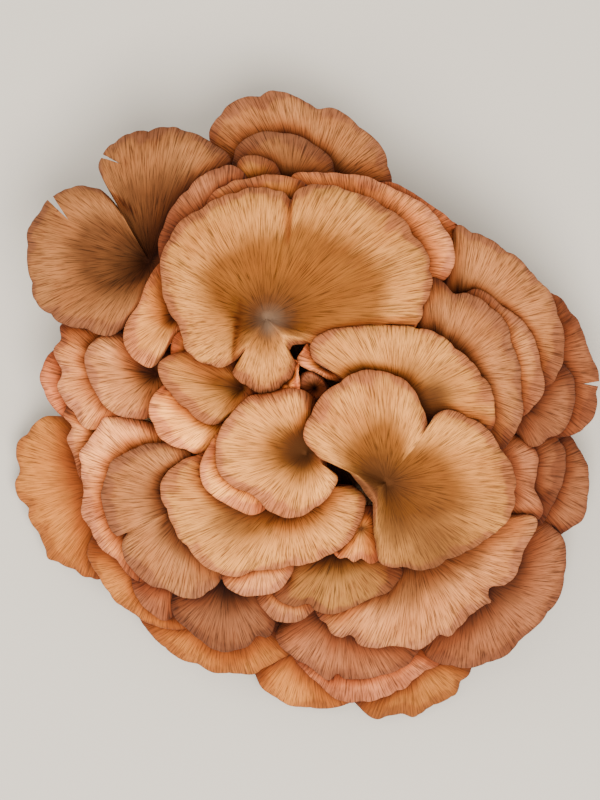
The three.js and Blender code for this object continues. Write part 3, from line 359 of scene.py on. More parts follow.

# Each rim corner is x, y and, where the margin is bent, how far it is lifted
# A cap's brightness factor lightens or darkens its skin, partly for the cap's own tone and partly as
# painted light and shade, and over is for a cap that lies over ones of a higher tier
# Dark marks on the skin, mostly painted shade in deep bowls and under higher caps and partly darker skin,
# and pale blooms are x, y, how far they reach and how strong they are
# A fold's lip runs along a line, x and y to x and y, and stands up by the last number on the line's left
# A tear is a thin wedge, given by its three corners
mushrooms = [
    dict(node="crown_kidney", tone="pale", tier=8.4, hub=(29.5, -28), dip=16, stem=7, shade=0.88,
         stain=((24, -27, 10, 0.85), (33, -44, 12, 0.8), (44, -48, 19, 0.8), (60, -38, 12, 0.4)), rim=[
        (24, -35), (25, -46, 1), (27.5, -55, 2), (36, -57, 2), (44, -57, 2), (52, -53.5, 1), (60, -49.5),
        (67, -45), (72, -38), (73.5, -30), (70.5, -20), (65, -12), (58, -6), (50, -3.5), (45.5, -5),
        (44, -9), (41.5, -3), (37, 5.5), (28, 10, 1), (18, 9, 2), (9, 3, 2), (3, -5, 2), (1.5, -13, 2),
        (6, -19), (12, -22), (17, -25)]),
    dict(node="crown_fan", tone="pale", tier=8.2, hub=(-11.5, 28), dip=22, stem=8, shade=0.82,
         bloom=((-10, 26, 4, 0.5),), folds=((-22.5, 10, -21, 38, 4), (-2.5, 72, -4, 50, 1.5)), rim=[
        (-2.5, 18.5, -8), (3, 18.8, -14), (10, 16, -16), (20, 15, -16), (30, 17.5, -14), (38, 23, -8),
        (42, 31, -3), (44.5, 40), (43.5, 48), (39, 56), (33, 63), (26, 67.5), (18, 71), (9, 73.5),
        (3, 73.5), (-1.5, 71), (-3, 68.5), (-6, 71), (-13, 72.5), (-22, 71), (-31, 67), (-39, 62),
        (-44.5, 56), (-47.5, 47), (-47, 38), (-44.5, 30), (-41, 24), (-38.5, 17), (-32, 12), (-26, 11),
        (-22.5, 13, -3), (-19, 15, -6), (-22.5, 10, -10), (-19, 5, -12), (-12, 2.5, -12), (-5, 5, -12),
        (-1.5, 12, -10), (-3, 16, -8)]),
    dict(node="crown_arc", tone="pale", tier=7.6, over=8.3, hub=(32, -2), dip=14, shade=0.87,
         stain=((46, 2, 7, 0.85), (38, 11, 5, 0.4)), rim=[
        (62, -14, -4), (66, -8), (66.5, -2), (64.5, 5), (60, 11), (55, 16), (50, 20), (45, 23),
        (39, 24.8), (30, 25.2), (22, 25.6), (14, 24.5), (7, 22), (3, 18), (5, 13), (10, 10), (16, 5),
        (21, -2), (22, -10), (34, -15), (50, -17)]),
    dict(node="crown_flap", tone="pale", tier=6.8, hub=(9, 12), dip=4, shade=1.8, rim=[
        (4, 20), (0.5, 17), (-1, 13), (2, 10.5), (6, 9), (10, 7), (16, 7), (17, 13), (12, 18)]),
    dict(node="crown_cup", tone="rust", tier=6.6, hub=(5, 4), dip=8, rim=[
        (10, 3.5), (8.5, 6.5), (5, 9.5), (1, 9.5), (-1, 6), (0, 2), (4, -1), (8, 0)]),
    dict(node="crown_petal", tone="pale", tier=7.4, hub=(-4, 5), dip=3, shade=2.3, rim=[
        (0, 3), (-0.3, 8), (-1, 13), (-4.5, 13), (-9, 11), (-10.3, 7.5), (-10, 3), (-6, 0), (-2, -1)]),
    dict(node="crown_small", tone="pale", tier=7.7, hub=(2, -18), dip=15, stem=5.5, shade=0.95,
         stain=((0, -17, 7, 1.0),), rim=[
        (9.5, -17, -8), (10, -11, -8), (9, -5, -8), (5.5, 0.5, -5), (0, 3.8), (-6, 4), (-12, 2.7),
        (-17.5, 1.3), (-22, -3), (-26, -8.5), (-28.3, -14), (-28.5, -20), (-26.5, -25.5), (-22, -29.8),
        (-16.5, -32), (-14.8, -33.5), (-11, -37.3), (-4, -39.5), (2, -38.3), (7, -35), (11, -30),
        (12.5, -25.5), (9, -22.5, -3)]),
    dict(node="under_small", tone="pale", tier=6.9, hub=(-10, -18), dip=8, shade=1.4, rim=[
        (-13, -8), (-22, -7), (-29.5, -13), (-33, -19), (-34.3, -24.5), (-32.5, -29.5), (-29.3, -33),
        (-25, -35.8), (-21, -37.6), (-17, -39), (-13, -38), (-8, -32), (-3, -24), (-2, -15), (-6, -10)]),
    dict(node="lower_centre_fan", tone="pale", tier=6.2, hub=(-4, -32), dip=9, shade=0.9,
         stain=((-25, -42, 8, 0.55),), rim=[
        (-36, -19), (-42, -21.5), (-46, -25.5), (-47.5, -31), (-46.5, -36.5), (-44, -41.5), (-41, -48),
        (-36, -54), (-30, -59), (-22, -60.7), (-15, -58.8), (-7, -57.7), (1, -56.5), (8, -54),
        (14, -51.5), (18.5, -46.5), (22, -39), (22.5, -33.5), (19, -29.5), (13, -28.5), (5, -26.5),
        (-6, -24), (-16, -19), (-26, -16.5)]),
    dict(node="left_inner_upper", tone="pale", tier=6.6, hub=(-20, 4), dip=10, shade=0.8, rim=[
        (-15, 8), (-20, 14), (-30, 17), (-38, 17), (-45, 15), (-48.3, 12.5), (-48.5, 9), (-46.5, 5),
        (-44.5, 2.8), (-43, 0.8), (-40.5, -1.8), (-38.3, -3.2), (-36.5, -5.5), (-32.5, -8.2), (-28, -8.2),
        (-24, -5.5), (-18, -2), (-14, 2)]),
    dict(node="left_inner_top", tone="pale", tier=6.0, hub=(-33, 15), dip=4, shade=2.0, rim=[
        (-28, 20), (-33, 24), (-40, 24), (-43.3, 21.5), (-44.3, 18), (-44, 14), (-38, 9), (-30, 9),
        (-26, 14)]),
    dict(node="left_inner_lower", tone="pale", tier=5.8, hub=(-24, -4), dip=8, shade=1.6, rim=[
        (-22, 3), (-32, 6), (-42, 6.5), (-48, 4.5), (-51.3, 0), (-51.8, -5), (-50, -9.5), (-47.5, -13.2),
        (-43, -15.8), (-38.5, -17.2), (-36, -18.5), (-33, -18.6), (-30.5, -16.5), (-28, -13), (-20, -10),
        (-18, -4)]),
    dict(node="left_fold", tone="pale", tier=6.0, hub=(-42, 30), dip=6, shade=1.1, rim=[
        (-40, 46), (-46, 49), (-51, 44), (-53.5, 39), (-55.5, 33.5), (-58.5, 29), (-60.3, 25),
        (-60.3, 19.5), (-58.5, 15.5), (-55, 12.8), (-51, 11.2), (-47.5, 14), (-44.5, 19), (-40, 22),
        (-34, 24), (-32, 34)]),
    dict(node="left_funnel", tone="tan", tier=5.6, hub=(-53, 49), dip=22, stem=7, shade=0.6,
         folds=((-67, 73, -56, 65, 4),),
         tears=[((-90, 71.5), (-88.2, 73.3), (-81, 63)), ((-71.5, 85.9), (-70.7, 87.3), (-62.5, 82.5))],
         rim=[
        (-41, 50, -5), (-39, 58), (-34, 67), (-27, 77), (-24, 83), (-27, 87.5), (-32, 91), (-37.5, 93.5),
        (-43, 96), (-48.5, 96), (-54, 95.3), (-60, 94), (-66, 91), (-69.5, 86), (-71, 82), (-69.8, 78.6),
        (-66.8, 73.2), (-63.4, 67.4), (-66.2, 70.4), (-70, 73.8), (-75, 75.3), (-80, 75), (-85, 73.7),
        (-89, 70.8), (-93, 66), (-96, 60.5), (-96.7, 56), (-96, 49), (-95, 42), (-93, 36), (-89, 30.8),
        (-83, 27), (-76.5, 25), (-72, 23.5), (-66.5, 22.5), (-62, 24), (-58, 27.5), (-52, 32),
        (-47, 36, -3), (-43, 42, -5)]),
    dict(node="north_west_curl", tone="rust", tier=6.5, hub=(-24, 48), dip=10, shade=1.0, rim=[
        (-15, 60), (-16, 72), (-19.5, 78.5), (-23, 80.8), (-26.5, 81), (-31, 79), (-36, 75.5),
        (-41, 70.2), (-45, 64.5), (-48, 58), (-48.8, 52.5), (-47.5, 46), (-40, 40), (-30, 38), (-18, 42)]),
    dict(node="north_rim", tone="pale", tier=7.2, hub=(-8, 52), dip=13, shade=0.95, rim=[
        (6, 60), (6, 70), (2, 74.5), (-5, 76.7), (-11, 77.5), (-17, 75.7), (-23, 75), (-28, 72.2),
        (-31.5, 68), (-32, 60), (-24, 50), (-12, 43), (0, 46)]),
    dict(node="north_small", tone="pale", tier=5.9, hub=(-14, 72), dip=3, shade=0.7, rim=[
        (-6, 74), (-7, 79), (-8.5, 82), (-11, 83.8), (-15, 85), (-20, 84), (-22.3, 80.5), (-21, 75),
        (-17, 66), (-10, 66)]),
    dict(node="north_inner", tone="tan", tier=4.9, hub=(-4, 72), dip=6, shade=0.62, rim=[
        (12, 72), (12, 79), (10.7, 85), (7, 88.3), (2.5, 91.3), (-3, 93.6), (-9, 94.2), (-14, 94),
        (-19.5, 91.5), (-23, 87), (-23, 79), (-16, 70), (-6, 63), (6, 65)]),
    dict(node="north_outer", tone="tan", tier=3.7, hub=(2, 68), dip=8, shade=0.9, rim=[
        (32, 76), (31.8, 81.5), (30.3, 87), (26.5, 92.8), (21, 98), (15, 102.5), (10.5, 104.2),
        (6.3, 103.6), (3.5, 106), (-2.5, 108.7), (-10.3, 110.3), (-15, 108.8), (-21, 107.5), (-27, 104),
        (-30.5, 99), (-32, 94), (-31, 86), (-22, 74), (-8, 60), (8, 58), (24, 66)]),
    dict(node="north_east_band", tone="tan", tier=6.2, hub=(18, 48), dip=12, shade=1.8, rim=[
        (48, 40), (52, 43.5), (53.7, 48), (53, 53.5), (50.5, 59), (46.5, 64.5), (41.5, 68.7), (35.7, 72),
        (29, 75), (22, 77.7), (15, 78.5), (8, 78.6), (2, 79), (-3, 77.5), (-4, 70), (0, 58), (8, 46),
        (20, 38), (34, 38)]),
    dict(node="north_east_under", tone="tan", tier=4.8, hub=(32, 52), dip=6, shade=2.4, rim=[
        (58, 52), (56, 60), (51, 64.7), (45, 69), (38, 73.5), (31, 76.5), (22, 72), (18, 58), (22, 46),
        (34, 42), (48, 44)]),
    dict(node="east_upper_band", tone="tan", tier=4.9, hub=(54, 24), dip=10, shade=0.88, rim=[
        (85.5, 4.5), (88.5, 6), (92, 11.5), (93.3, 17.5), (92.8, 24), (90.5, 31), (87.5, 37.5), (84, 42),
        (79.5, 46), (75.5, 50.3), (71, 53), (66, 56), (60, 59), (55, 60.8), (52.5, 55), (50, 46),
        (46, 36), (44, 24), (48, 12), (60, 5), (74, 3)]),
    dict(node="east_mid_band", tone="tan", tier=5.6, hub=(52, 10), dip=10, shade=1.05, rim=[
        (79, -4.5), (83, -0.5), (85, 4), (84.3, 11), (83, 18), (80.3, 23.8), (76.3, 28.3), (71.5, 32),
        (65.8, 36.3), (60, 38.5), (54, 34), (46, 24), (42, 12), (44, 0), (54, -6), (68, -8)]),
    dict(node="east_inner_band", tone="tan", tier=6.4, hub=(47, 8), dip=12, shade=0.82, rim=[
        (60, -18), (69.5, -16.8), (72.5, -13.5), (75.3, -10), (77, -5), (76.7, 3.5), (76.3, 10),
        (74.8, 15), (73, 20), (71.3, 25.5), (68.5, 29.8), (64.8, 32.6), (61, 35.4), (57, 37), (53, 37),
        (49.5, 40.5), (46, 42.5), (42.5, 41), (40, 32), (38, 22), (38, 8), (44, -6), (52, -14)]),
    dict(node="east_outer", tone="rust", tier=2.6, hub=(68, 12), dip=6, shade=0.9,
         tears=[((108.5, 6.9), (108.5, 4.7), (101.2, 5.8))], rim=[
        (88, -14), (98.5, -12), (101.7, -10.7), (104.8, -7), (106.5, -2), (107, 3.5), (107.3, 8.6),
        (105, 16), (102.2, 22.9), (100, 28.5), (96.6, 32.3), (93.5, 37), (89, 39), (80, 40), (68, 34),
        (58, 20), (58, 6), (66, -6), (76, -12)]),
    dict(node="east_lower_fold", tone="rust", tier=3.9, hub=(72, 2), dip=5, shade=0.65, rim=[
        (76, -12), (81, -16.5), (85, -15.7), (87.5, -13.3), (91, -12.3), (94.5, -9.5), (96.5, -4),
        (97.7, 2), (96, 10), (86, 16), (74, 16), (64, 10), (62, 0), (68, -8)]),
    dict(node="east_low_outer", tone="rust", tier=1.2, hub=(76, -26), dip=4, shade=0.7, rim=[
        (80, -46), (90, -50), (95, -49), (98.8, -46), (102.2, -43.5), (104.3, -39), (104.6, -32),
        (104.8, -25), (102, -19.5), (99, -14.5), (92, -10), (80, -8), (68, -14), (64, -26), (70, -38)]),
    dict(node="east_low_mid", tone="rust", tier=2.3, hub=(72, -24), dip=4, shade=0.7, rim=[
        (78, -44), (86.5, -44.8), (89.5, -39.5), (92.3, -34.5), (94.3, -28.5), (95.3, -22), (94.5, -17),
        (91, -12.5), (82, -8), (70, -10), (62, -20), (64, -32), (70, -40)]),
    dict(node="east_low_inner", tone="rust", tier=3.4, hub=(64, -24), dip=5, shade=1.0, rim=[
        (74, -44), (83, -43.5), (86.3, -39.5), (84.8, -35), (83, -31), (84, -26), (84.5, -21),
        (82, -16.5), (78, -13), (68, -8), (58, -14), (56, -26), (62, -38)]),
    dict(node="south_east_band", tone="tan", tier=4.3, hub=(39, -49), dip=10, shade=1.05, rim=[
        (83.5, -41.3), (72, -40), (60, -38), (46, -37), (32, -44), (22, -52), (12, -64), (5.5, -73),
        (6.5, -76.5), (9.5, -78.5), (11.5, -81.5), (14.5, -83.3), (17.5, -82.5), (20, -85.8),
        (26.5, -87.7), (31.5, -87.2), (35.5, -87.5), (42, -88.5), (46, -86.5), (49, -83), (52.5, -83),
        (56, -80), (60, -76.7), (63, -73), (67, -71), (66, -68.6), (67.5, -66.3), (72.5, -65), (76, -61),
        (78.5, -55.5), (80.5, -50), (83.2, -46)]),
    dict(node="south_inner", tone="pale", tier=5.2, hub=(13, -50), dip=9, shade=0.44, rim=[
        (35.6, -59.5), (34.3, -63), (30.2, -67.3), (24.4, -68.9), (18.5, -72.2), (10.7, -74.2),
        (5.2, -72.8), (3.3, -71), (-2, -71.5), (-7.8, -68.5), (-10.3, -65), (-6, -56), (2, -46),
        (12, -40), (22, -42), (31, -50)]),
    dict(node="south_inner_low", tone="tan", tier=4.7, hub=(-3, -60), dip=4, shade=0.9, rim=[
        (-15.2, -68.5), (-12.3, -74), (-8.3, -77.3), (-2, -77.6), (3, -75.3), (6, -71), (5, -60),
        (-2, -52), (-10, -54), (-15, -62)]),
    dict(node="south_west_inner", tone="tan", tier=5.5, hub=(-13, -51), dip=5, shade=1.25, rim=[
        (-27, -61), (-25, -65), (-19.5, -68), (-13.6, -67.7), (-8, -66), (-4.7, -63), (-2, -58),
        (-4, -48), (-12, -42), (-22, -44), (-27, -53)]),
    dict(node="south_scallop", tone="pale", tier=6.0, hub=(21, -44), dip=3, shade=1.2, rim=[
        (11, -52), (13.5, -54.5), (16, -54), (18.5, -55.5), (21, -54.3), (24, -56.2), (27, -55.5),
        (29, -50), (30, -42), (25, -36), (16, -38), (11, -45)]),
    dict(node="west_south_double", tone="tan", tier=5.1, hub=(-35, -34), dip=9, shade=0.75, rim=[
        (-38, -16), (-48.8, -14.7), (-55, -16.2), (-60.6, -18.2), (-65.5, -22), (-67.8, -27),
        (-68.8, -33), (-68.3, -39.5), (-66.3, -44), (-63.5, -47.5), (-60.5, -45.5), (-62, -50),
        (-61.8, -54), (-60, -58), (-56.5, -62), (-52, -65.2), (-48.5, -66), (-44.5, -67.6), (-39, -69),
        (-34, -68.3), (-30.3, -65.5), (-26, -60), (-22, -50), (-22, -40), (-26, -30), (-32, -20)]),
    dict(node="west_south_outer", tone="tan", tier=3.7, hub=(-47, -30), dip=5, shade=1.8, rim=[
        (-50, -8), (-61.5, -6), (-68.5, -5.7), (-70.5, -9), (-74.5, -14), (-77.5, -18.5), (-77, -25),
        (-76.3, -33), (-76.5, -40), (-73.5, -46.5), (-69.5, -52.3), (-65, -56), (-61, -60.5), (-56, -64),
        (-44, -58), (-38, -46), (-36, -30), (-40, -16)]),
    dict(node="west_fan", tone="tan", tier=4.7, hub=(-50, 9), dip=9, shade=1.1, rim=[
        (-56, 24), (-64.5, 23.5), (-70, 21.8), (-74, 18.5), (-75.3, 14.5), (-74.3, 10.7), (-73.3, 6.8),
        (-70.3, 1), (-66.4, -3.9), (-61.6, -6), (-56.7, -6.6), (-52, -6), (-46, -2), (-40, 6), (-42, 16),
        (-48, 22)]),
    dict(node="west_outer_band", tone="tan", tier=3.3, hub=(-61, 9), dip=5, shade=1.4, rim=[
        (-70, 30), (-79, 28.5), (-85, 26.5), (-84.7, 21.5), (-87.5, 18.5), (-86.5, 14.5), (-84.3, 10.5),
        (-85.7, 5), (-82.7, -1), (-79, -6), (-75.5, -10), (-70, -10.5), (-60, -8), (-52, 0), (-52, 12),
        (-58, 22)]),
    dict(node="west_low", tone="rust", tier=1.9, hub=(-70, 6), dip=4, shade=2.2, rim=[
        (-78, 22), (-88.5, 18), (-92, 12), (-93, 7.5), (-91, 1.5), (-87.5, -3.5), (-83, -7), (-72, -8),
        (-62, 0), (-64, 14)]),
    dict(node="west_wavy", tone="tan", tier=2.6, hub=(-64, -13), dip=4, shade=1.5, rim=[
        (-80, 0), (-84, -5.5), (-81, -9.5), (-82.5, -14), (-80.5, -19), (-79.5, -24), (-77, -29),
        (-68, -28), (-58, -20), (-58, -8), (-66, -2)]),
    dict(node="south_west_low_fan", tone="amber", tier=0.2, hub=(-64, -28), dip=5, stem=5, shade=1.3,
         rim=[
        (-72, -4), (-85, -5.6), (-92.3, -6.2), (-97, -9.3), (-99.2, -11.5), (-102.7, -15), (-103.4, -20),
        (-102.5, -24.8), (-104.3, -30.5), (-102.7, -36), (-99.5, -39.8), (-99.5, -43), (-96.4, -48.2),
        (-93.3, -53.3), (-92, -58), (-87, -59.7), (-82, -61.5), (-78, -64.7), (-73, -65), (-62, -56),
        (-54, -42), (-52, -26), (-58, -12)]),
    dict(node="south_west_band", tone="amber", tier=2.1, hub=(-48, -56), dip=5, shade=1.3, rim=[
        (-64, -42), (-74, -48), (-76, -54), (-74.5, -59.5), (-72, -63.7), (-68.5, -68.5), (-65.5, -73),
        (-60, -76.8), (-56, -79.3), (-50, -81.3), (-43, -82.3), (-38, -81), (-30, -70), (-32, -56),
        (-42, -44), (-54, -38)]),
    dict(node="south_low_band", tone="amber", tier=1.0, hub=(-27, -68), dip=5, shade=1.2, rim=[
        (-62, -72), (-58, -79.5), (-53.5, -84.5), (-49.5, -89.5), (-42.7, -94), (-36.5, -96.5),
        (-30.5, -99), (-22.5, -99.3), (-16, -99), (-11, -96), (-5.5, -93), (2, -88), (2, -74), (-8, -60),
        (-24, -54), (-44, -58)]),
    dict(node="south_west_small", tone="rust", tier=3.2, hub=(-46, -60), dip=4, shade=1.0, rim=[
        (-60, -58), (-59.5, -65), (-57, -71), (-53, -75.5), (-48, -78.2), (-44.5, -76.5), (-40, -70),
        (-36, -60), (-42, -52), (-52, -50)]),
    dict(node="south_fan", tone="rust", tier=3.9, hub=(-26, -62), dip=8, shade=0.5, rim=[
        (-44, -66), (-45.5, -72), (-44.3, -76), (-40.5, -80.3), (-36, -84.5), (-31, -88), (-27, -89),
        (-22, -88.2), (-17.7, -86.8), (-15.3, -83.3), (-11.5, -83.7), (-9, -80), (-9.5, -72), (-14, -60),
        (-24, -50), (-36, -54)]),
    dict(node="south_low_fold", tone="rust", tier=2.6, hub=(15, -70), dip=5, shade=0.85, rim=[
        (-4, -74), (-7.5, -80), (-8.7, -85.5), (-4, -90), (2, -94.3), (7, -98.4), (10.5, -100),
        (13.5, -97.5), (16, -99.8), (22, -100.3), (28, -98.7), (34, -97), (40, -93.8), (43, -88),
        (40, -74), (28, -62), (12, -58), (0, -64)]),
    dict(node="south_low_wavy", tone="rust", tier=1.7, hub=(19, -76), dip=5, shade=1.65, rim=[
        (-6, -84), (-2, -93), (2, -97.5), (8, -103.8), (13, -107.5), (18.5, -109.5), (24.5, -109),
        (31, -107), (37.5, -104.5), (41, -101), (46, -98), (51, -95), (52, -84), (40, -70), (22, -64),
        (4, -70)]),
    dict(node="south_low_left", tone="amber", tier=0, hub=(3, -84), dip=4, shade=1.3, rim=[
        (-20, -90), (-17.5, -98), (-14.5, -104), (-10.3, -108.2), (-5, -111.5), (0, -112.6),
        (6.2, -113.3), (12.4, -112.8), (18, -111.5), (26, -106), (26, -92), (16, -78), (0, -72),
        (-14, -78)]),
    dict(node="south_low_right", tone="amber", tier=0.6, hub=(37, -88), dip=4, shade=1.0, rim=[
        (16, -104), (20.5, -111.5), (24.5, -115.5), (29, -117.2), (33.5, -115.7), (38, -115),
        (41.5, -116.2), (45.5, -114.5), (48.5, -112), (52.7, -110), (56.8, -107.8), (59, -103.7),
        (62, -100), (63, -93), (56, -82), (42, -74), (26, -76), (16, -88)]),
    dict(node="south_east_outer", tone="rust", tier=1.9, hub=(60, -62), dip=6, stem=6, shade=0.75, rim=[
        (80, -40), (89, -44), (93.7, -47.5), (96.3, -51.5), (96.8, -58), (96.2, -65), (94.7, -70.5),
        (92, -75.7), (87.5, -80.4), (82.7, -84.5), (79.5, -88.5), (76, -91.7), (71, -94.4), (66, -96.3),
        (61, -96.9), (56, -96.8), (50.5, -95), (45, -91.8), (40, -82), (40, -68), (46, -54), (58, -44),
        (70, -40)]),
]

trunk = {
    # Radius and height up its side
    "profile": ((34, 0), (40, 8), (42, 20), (38, 35), (31, 47), (22, 56), (12, 61), (0, 63)),
    "lumps": ((5, 0.05, 0.4), (8, 0.035, 1.9)),  # how many round, share of the radius, phase
    "knobs": ((40, 1.2), (22, 0.8), (11, 0.5)),  # length of the uneven knobs, and how far they stand out
    "corners": 240,
    "sideHeights": (62, 8, 26),  # from, to, and how many rings
    "footHeights": (5, 3, 1.5, 0.4, 0, 0, 0, 0, 0),
    "faceShares": (0.985, 0.9, 0.7, 0.45, 0.2),  # rings of the cut face, as shares of its radius
    "flatShare": 0.2,  # how much of the knobs is left round the cut face
    "seed": 60,
    "alike": 5,  # rings in a row with the same knobs
}


def seededDraw(seed):
    # The same small draw as the solids use, so that the margins wave alike
    state = seed * 7919 + 17
    while True:
        state = (state * 16807) % 2147483647
        yield state / 2147483647


def closedCurve(points, count):
    # Smooth closed curve through the points, cut into even steps
    corners = np.array([(p[0], p[1], p[2] if len(p) > 2 else 0.0) for p in points], float)
    before, start, end, after = (np.roll(corners, shift, axis=0) for shift in (1, 0, -1, -2))
    knots = [np.maximum(np.linalg.norm(b - a, axis=1), 1e-6)[:, None] ** 0.5
             for a, b in ((before, start), (start, end), (end, after))]
    first = ((start - before) / knots[0] - (end - before) / (knots[0] + knots[1])
             + (end - start) / knots[1]) * knots[1]
    last = ((end - start) / knots[1] - (after - start) / (knots[1] + knots[2])
            + (after - end) / knots[2]) * knots[1]
    steps = np.linspace(0, 1, 24, endpoint=False)[:, None, None]
    line = (start + first * steps + (3 * (end - start) - 2 * first - last) * steps ** 2
            + (2 * (start - end) + first + last) * steps ** 3)
    line = line.transpose(1, 0, 2).reshape(-1, 3)
    line = np.vstack([line, line[:1]])
    walked = np.concatenate([[0], np.cumsum(np.linalg.norm(np.diff(line, axis=0), axis=1))])
    length = walked[-1]
    if count is None:
        return line, length
    stops = np.linspace(0, length, count, endpoint=False) + length / count
    return np.stack([np.interp(stops % length, walked, line[:, axis]) for axis in range(3)], axis=1), length


def smoothRing(values, reach):
    kernel = np.ones(2 * reach + 1) / (2 * reach + 1)
    return np.convolve(np.concatenate([values[-reach:], values, values[:reach]]), kernel, mode="valid")


def unevenWave(count, around, length, rng):
    # Neighbouring wave numbers beat, so that no two waves are alike. It swings about as far as a sine
    at = np.arange(count) / count * fullTurn
    number = max(3, round(around / length))
    total = sum(rng.uniform(0.4, 1) * np.sin((number + shift) * at + rng.uniform(0, fullTurn))
                for shift in (-2, -1, 0, 1))
    return total / max(1e-6, 1.4 * total.std())


def lobedWave(count, around, length, rng):
    # Rounded lobes with sharp notches between them
    lobes = np.abs(unevenWave(count, around, 2 * length, rng)) ** 0.8
    return np.clip(lobes, 0, 1.2) - lobes.mean()


def shelf(x, y, tier):
    height = growth["lowestTier"] + growth["tierStep"] * tier
    return height - growth["droop"] * (x * x + y * y) / growth["droopReach"] ** 2


def trunkRadius(height, turn):
    radii, heights = zip(*trunk["profile"])
    radius = np.interp(height, heights, radii)
    lumps = sum(share * np.sin(number * turn + phase) for number, share, phase in trunk["lumps"])
    return radius * (1 + lumps)


def camelCase(words):
    first, *rest = words.split("_")
    return first + "".join(word.capitalize() for word in rest)


def ballToRings(name, rings):
    # A ball has rings of corners between two poles, as a mushroom does, so each ring is moved to its place
    ringCount, count = rings.shape[0] - 2, rings.shape[1]
    bpy.ops.object.select_all(action="DESELECT")
    bpy.ops.mesh.primitive_uv_sphere_add(segments=count, ring_count=ringCount + 1, radius=1,
                                         location=(0, 0, 0))
    piece = bpy.context.object
    piece.name = name
    mesh = piece.data
    corners = np.empty(len(mesh.vertices) * 3)
    mesh.vertices.foreach_get("co", corners)
    corners = corners.reshape(-1, 3)
    ring = np.rint(np.arccos(np.clip(corners[:, 2], -1, 1)) / math.pi * (ringCount + 1)).astype(int)
    at = np.rint(np.arctan2(corners[:, 1], corners[:, 0]) / fullTurn * count).astype(int) % count
    mesh.vertices.foreach_set("co", (rings[ring, at] * mm).ravel())
    mesh.update()
    bpy.ops.object.shade_smooth()
    return piece, ring, at


# What the skins read at every corner, and how many numbers each of them has
patterns = {
    "grain": 3, "zone": 1, "fromRim": 1, "ridge": 1, "shelterShade": 1, "shade": 1,
    **{mark: 1 for mark in marks},
}
kinds = {1: ("FLOAT", "value"), 3: ("FLOAT_VECTOR", "vector")}


def writePattern(mesh, name, values):
    kind, field = kinds[patterns[name]]
    mesh.attributes.new(name, kind, "POINT").data.foreach_set(field, np.asarray(values, float).ravel())


def paintFaces(mesh, ring, borders):
    # Every face takes the material of the zone that its highest ring lies in
    starts = np.empty(len(mesh.polygons), int)
    mesh.polygons.foreach_get("loop_start", starts)
    corners = np.empty(len(mesh.loops), int)
    mesh.loops.foreach_get("vertex_index", corners)
    highest = np.minimum.reduceat(ring[corners], starts)
    numbers = np.searchsorted(borders, highest, side="right").astype(np.int32)
    mesh.polygons.foreach_set("material_index", numbers)


def finishPiece(piece, node):
    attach(piece, "root")
    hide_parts(node)


class Outline:
    # A cap's rim seen from its hub, with softened copies that the inner rings follow
    def __init__(self, cap):
        self.hub = np.array(cap["hub"], float)
        _, self.length = closedCurve(cap["rim"], None)
        fewest, most = growth["corners"]
        self.count = int(min(max(self.length / growth["spacing"], fewest), most)) // 8 * 8
        rim, _ = closedCurve(cap["rim"], self.count)
        x, y = rim[:, 0], rim[:, 1]
        if np.sum(x * np.roll(y, -1) - np.roll(x, -1) * y) < 0:
            rim = rim[::-1]
        away = rim[:, :2] - self.hub
        self.lift = rim[:, 2]
        self.turns = np.unwrap(np.arctan2(away[:, 1], away[:, 0]))
        self.radii = np.hypot(away[:, 0], away[:, 1])
        reach = max(1, round(self.count * growth["smoothing"]))
        self.even = self.turns[0] + fullTurn * np.arange(self.count) / self.count
        self.softTurns = self.even + smoothRing(self.turns - self.even, reach)
        least, most = growth["softening"]
        self.softRadii = np.clip(smoothRing(self.radii, reach), least * self.radii, most * self.radii)
        self.meanRadius = self.radii.mean()
        self.size = self.meanRadius / growth["usualRadius"]
        self.relief = min(max(self.size, growth["smallestSize"]), 1)
        self.rollShare = growth["rollWidth"] / np.maximum(self.radii, growth["rollRadius"])
        thinnest, thickest = growth["fleshRange"]
        self.flesh = growth["hubThickness"] * min(max(self.size, thinnest), thickest)
        self.middle = np.array([*self.hub, shelf(*self.hub, cap["tier"]) - cap["dip"]])


def capSurface(cap, rim, seed, rng):
    # Gives the function that puts the cap's top at a share of the way out, for every corner of the rim
    count, around = rim.count, rim.length
    reachOut, reachUp = np.zeros(count), np.zeros(count)
    for length, out, up in growth["lobes"]:
        lobes = lobedWave(count, around, length, rng) * rim.relief
        reachOut += out * lobes
        reachUp += up * lobes
    draw = seededDraw(seed)
    fewest, most = growth["solidCorners"]
    solidCorners = 2 * round(min(max(around / growth["solidSpacing"], fewest), most) / 2)
    ruffle = np.zeros(count)
    for ruffleLength in growth["ruffleLengths"]:
        number = max(2, round(solidCorners * growth["solidSpacing"] / ruffleLength))
        wave = np.sin(number * (rim.even - rim.even[0]) + fullTurn * next(draw))
        ruffle += growth["ruffleHeight"] * wave / 2

    def top(share):
        share = share * np.ones(count)
        weight = 1 - (1 - share) ** 2
        turn = rim.softTurns + (rim.turns - rim.softTurns) * weight
        radius = share * (rim.softRadii + (rim.radii - rim.softRadii) * weight) + reachOut * share ** 6
        x = rim.hub[0] + radius * np.cos(turn)
        y = rim.hub[1] + radius * np.sin(turn)
        crown = growth["crownHeight"] * rim.relief * np.sin(math.pi * share ** growth["crownPlace"])
        roll = growth["rollDepth"] * rim.relief * np.maximum(0, 1 - (1 - share) / rim.rollShare) ** 2
        crease = np.maximum(0, 1 - (1 - share) * rim.radii / growth["creases"])
        bend = rim.lift * share ** 2 + ruffle * share ** 3 + reachUp * crease
        z = shelf(x, y, cap["tier"]) - cap["dip"] * (1 - share) ** 2 + crown + bend - roll
        for fold in cap.get("folds", ()):
            z = z + foldLip(fold, x, y)[0]
        return np.stack([x, y, z], axis=1)

    return top


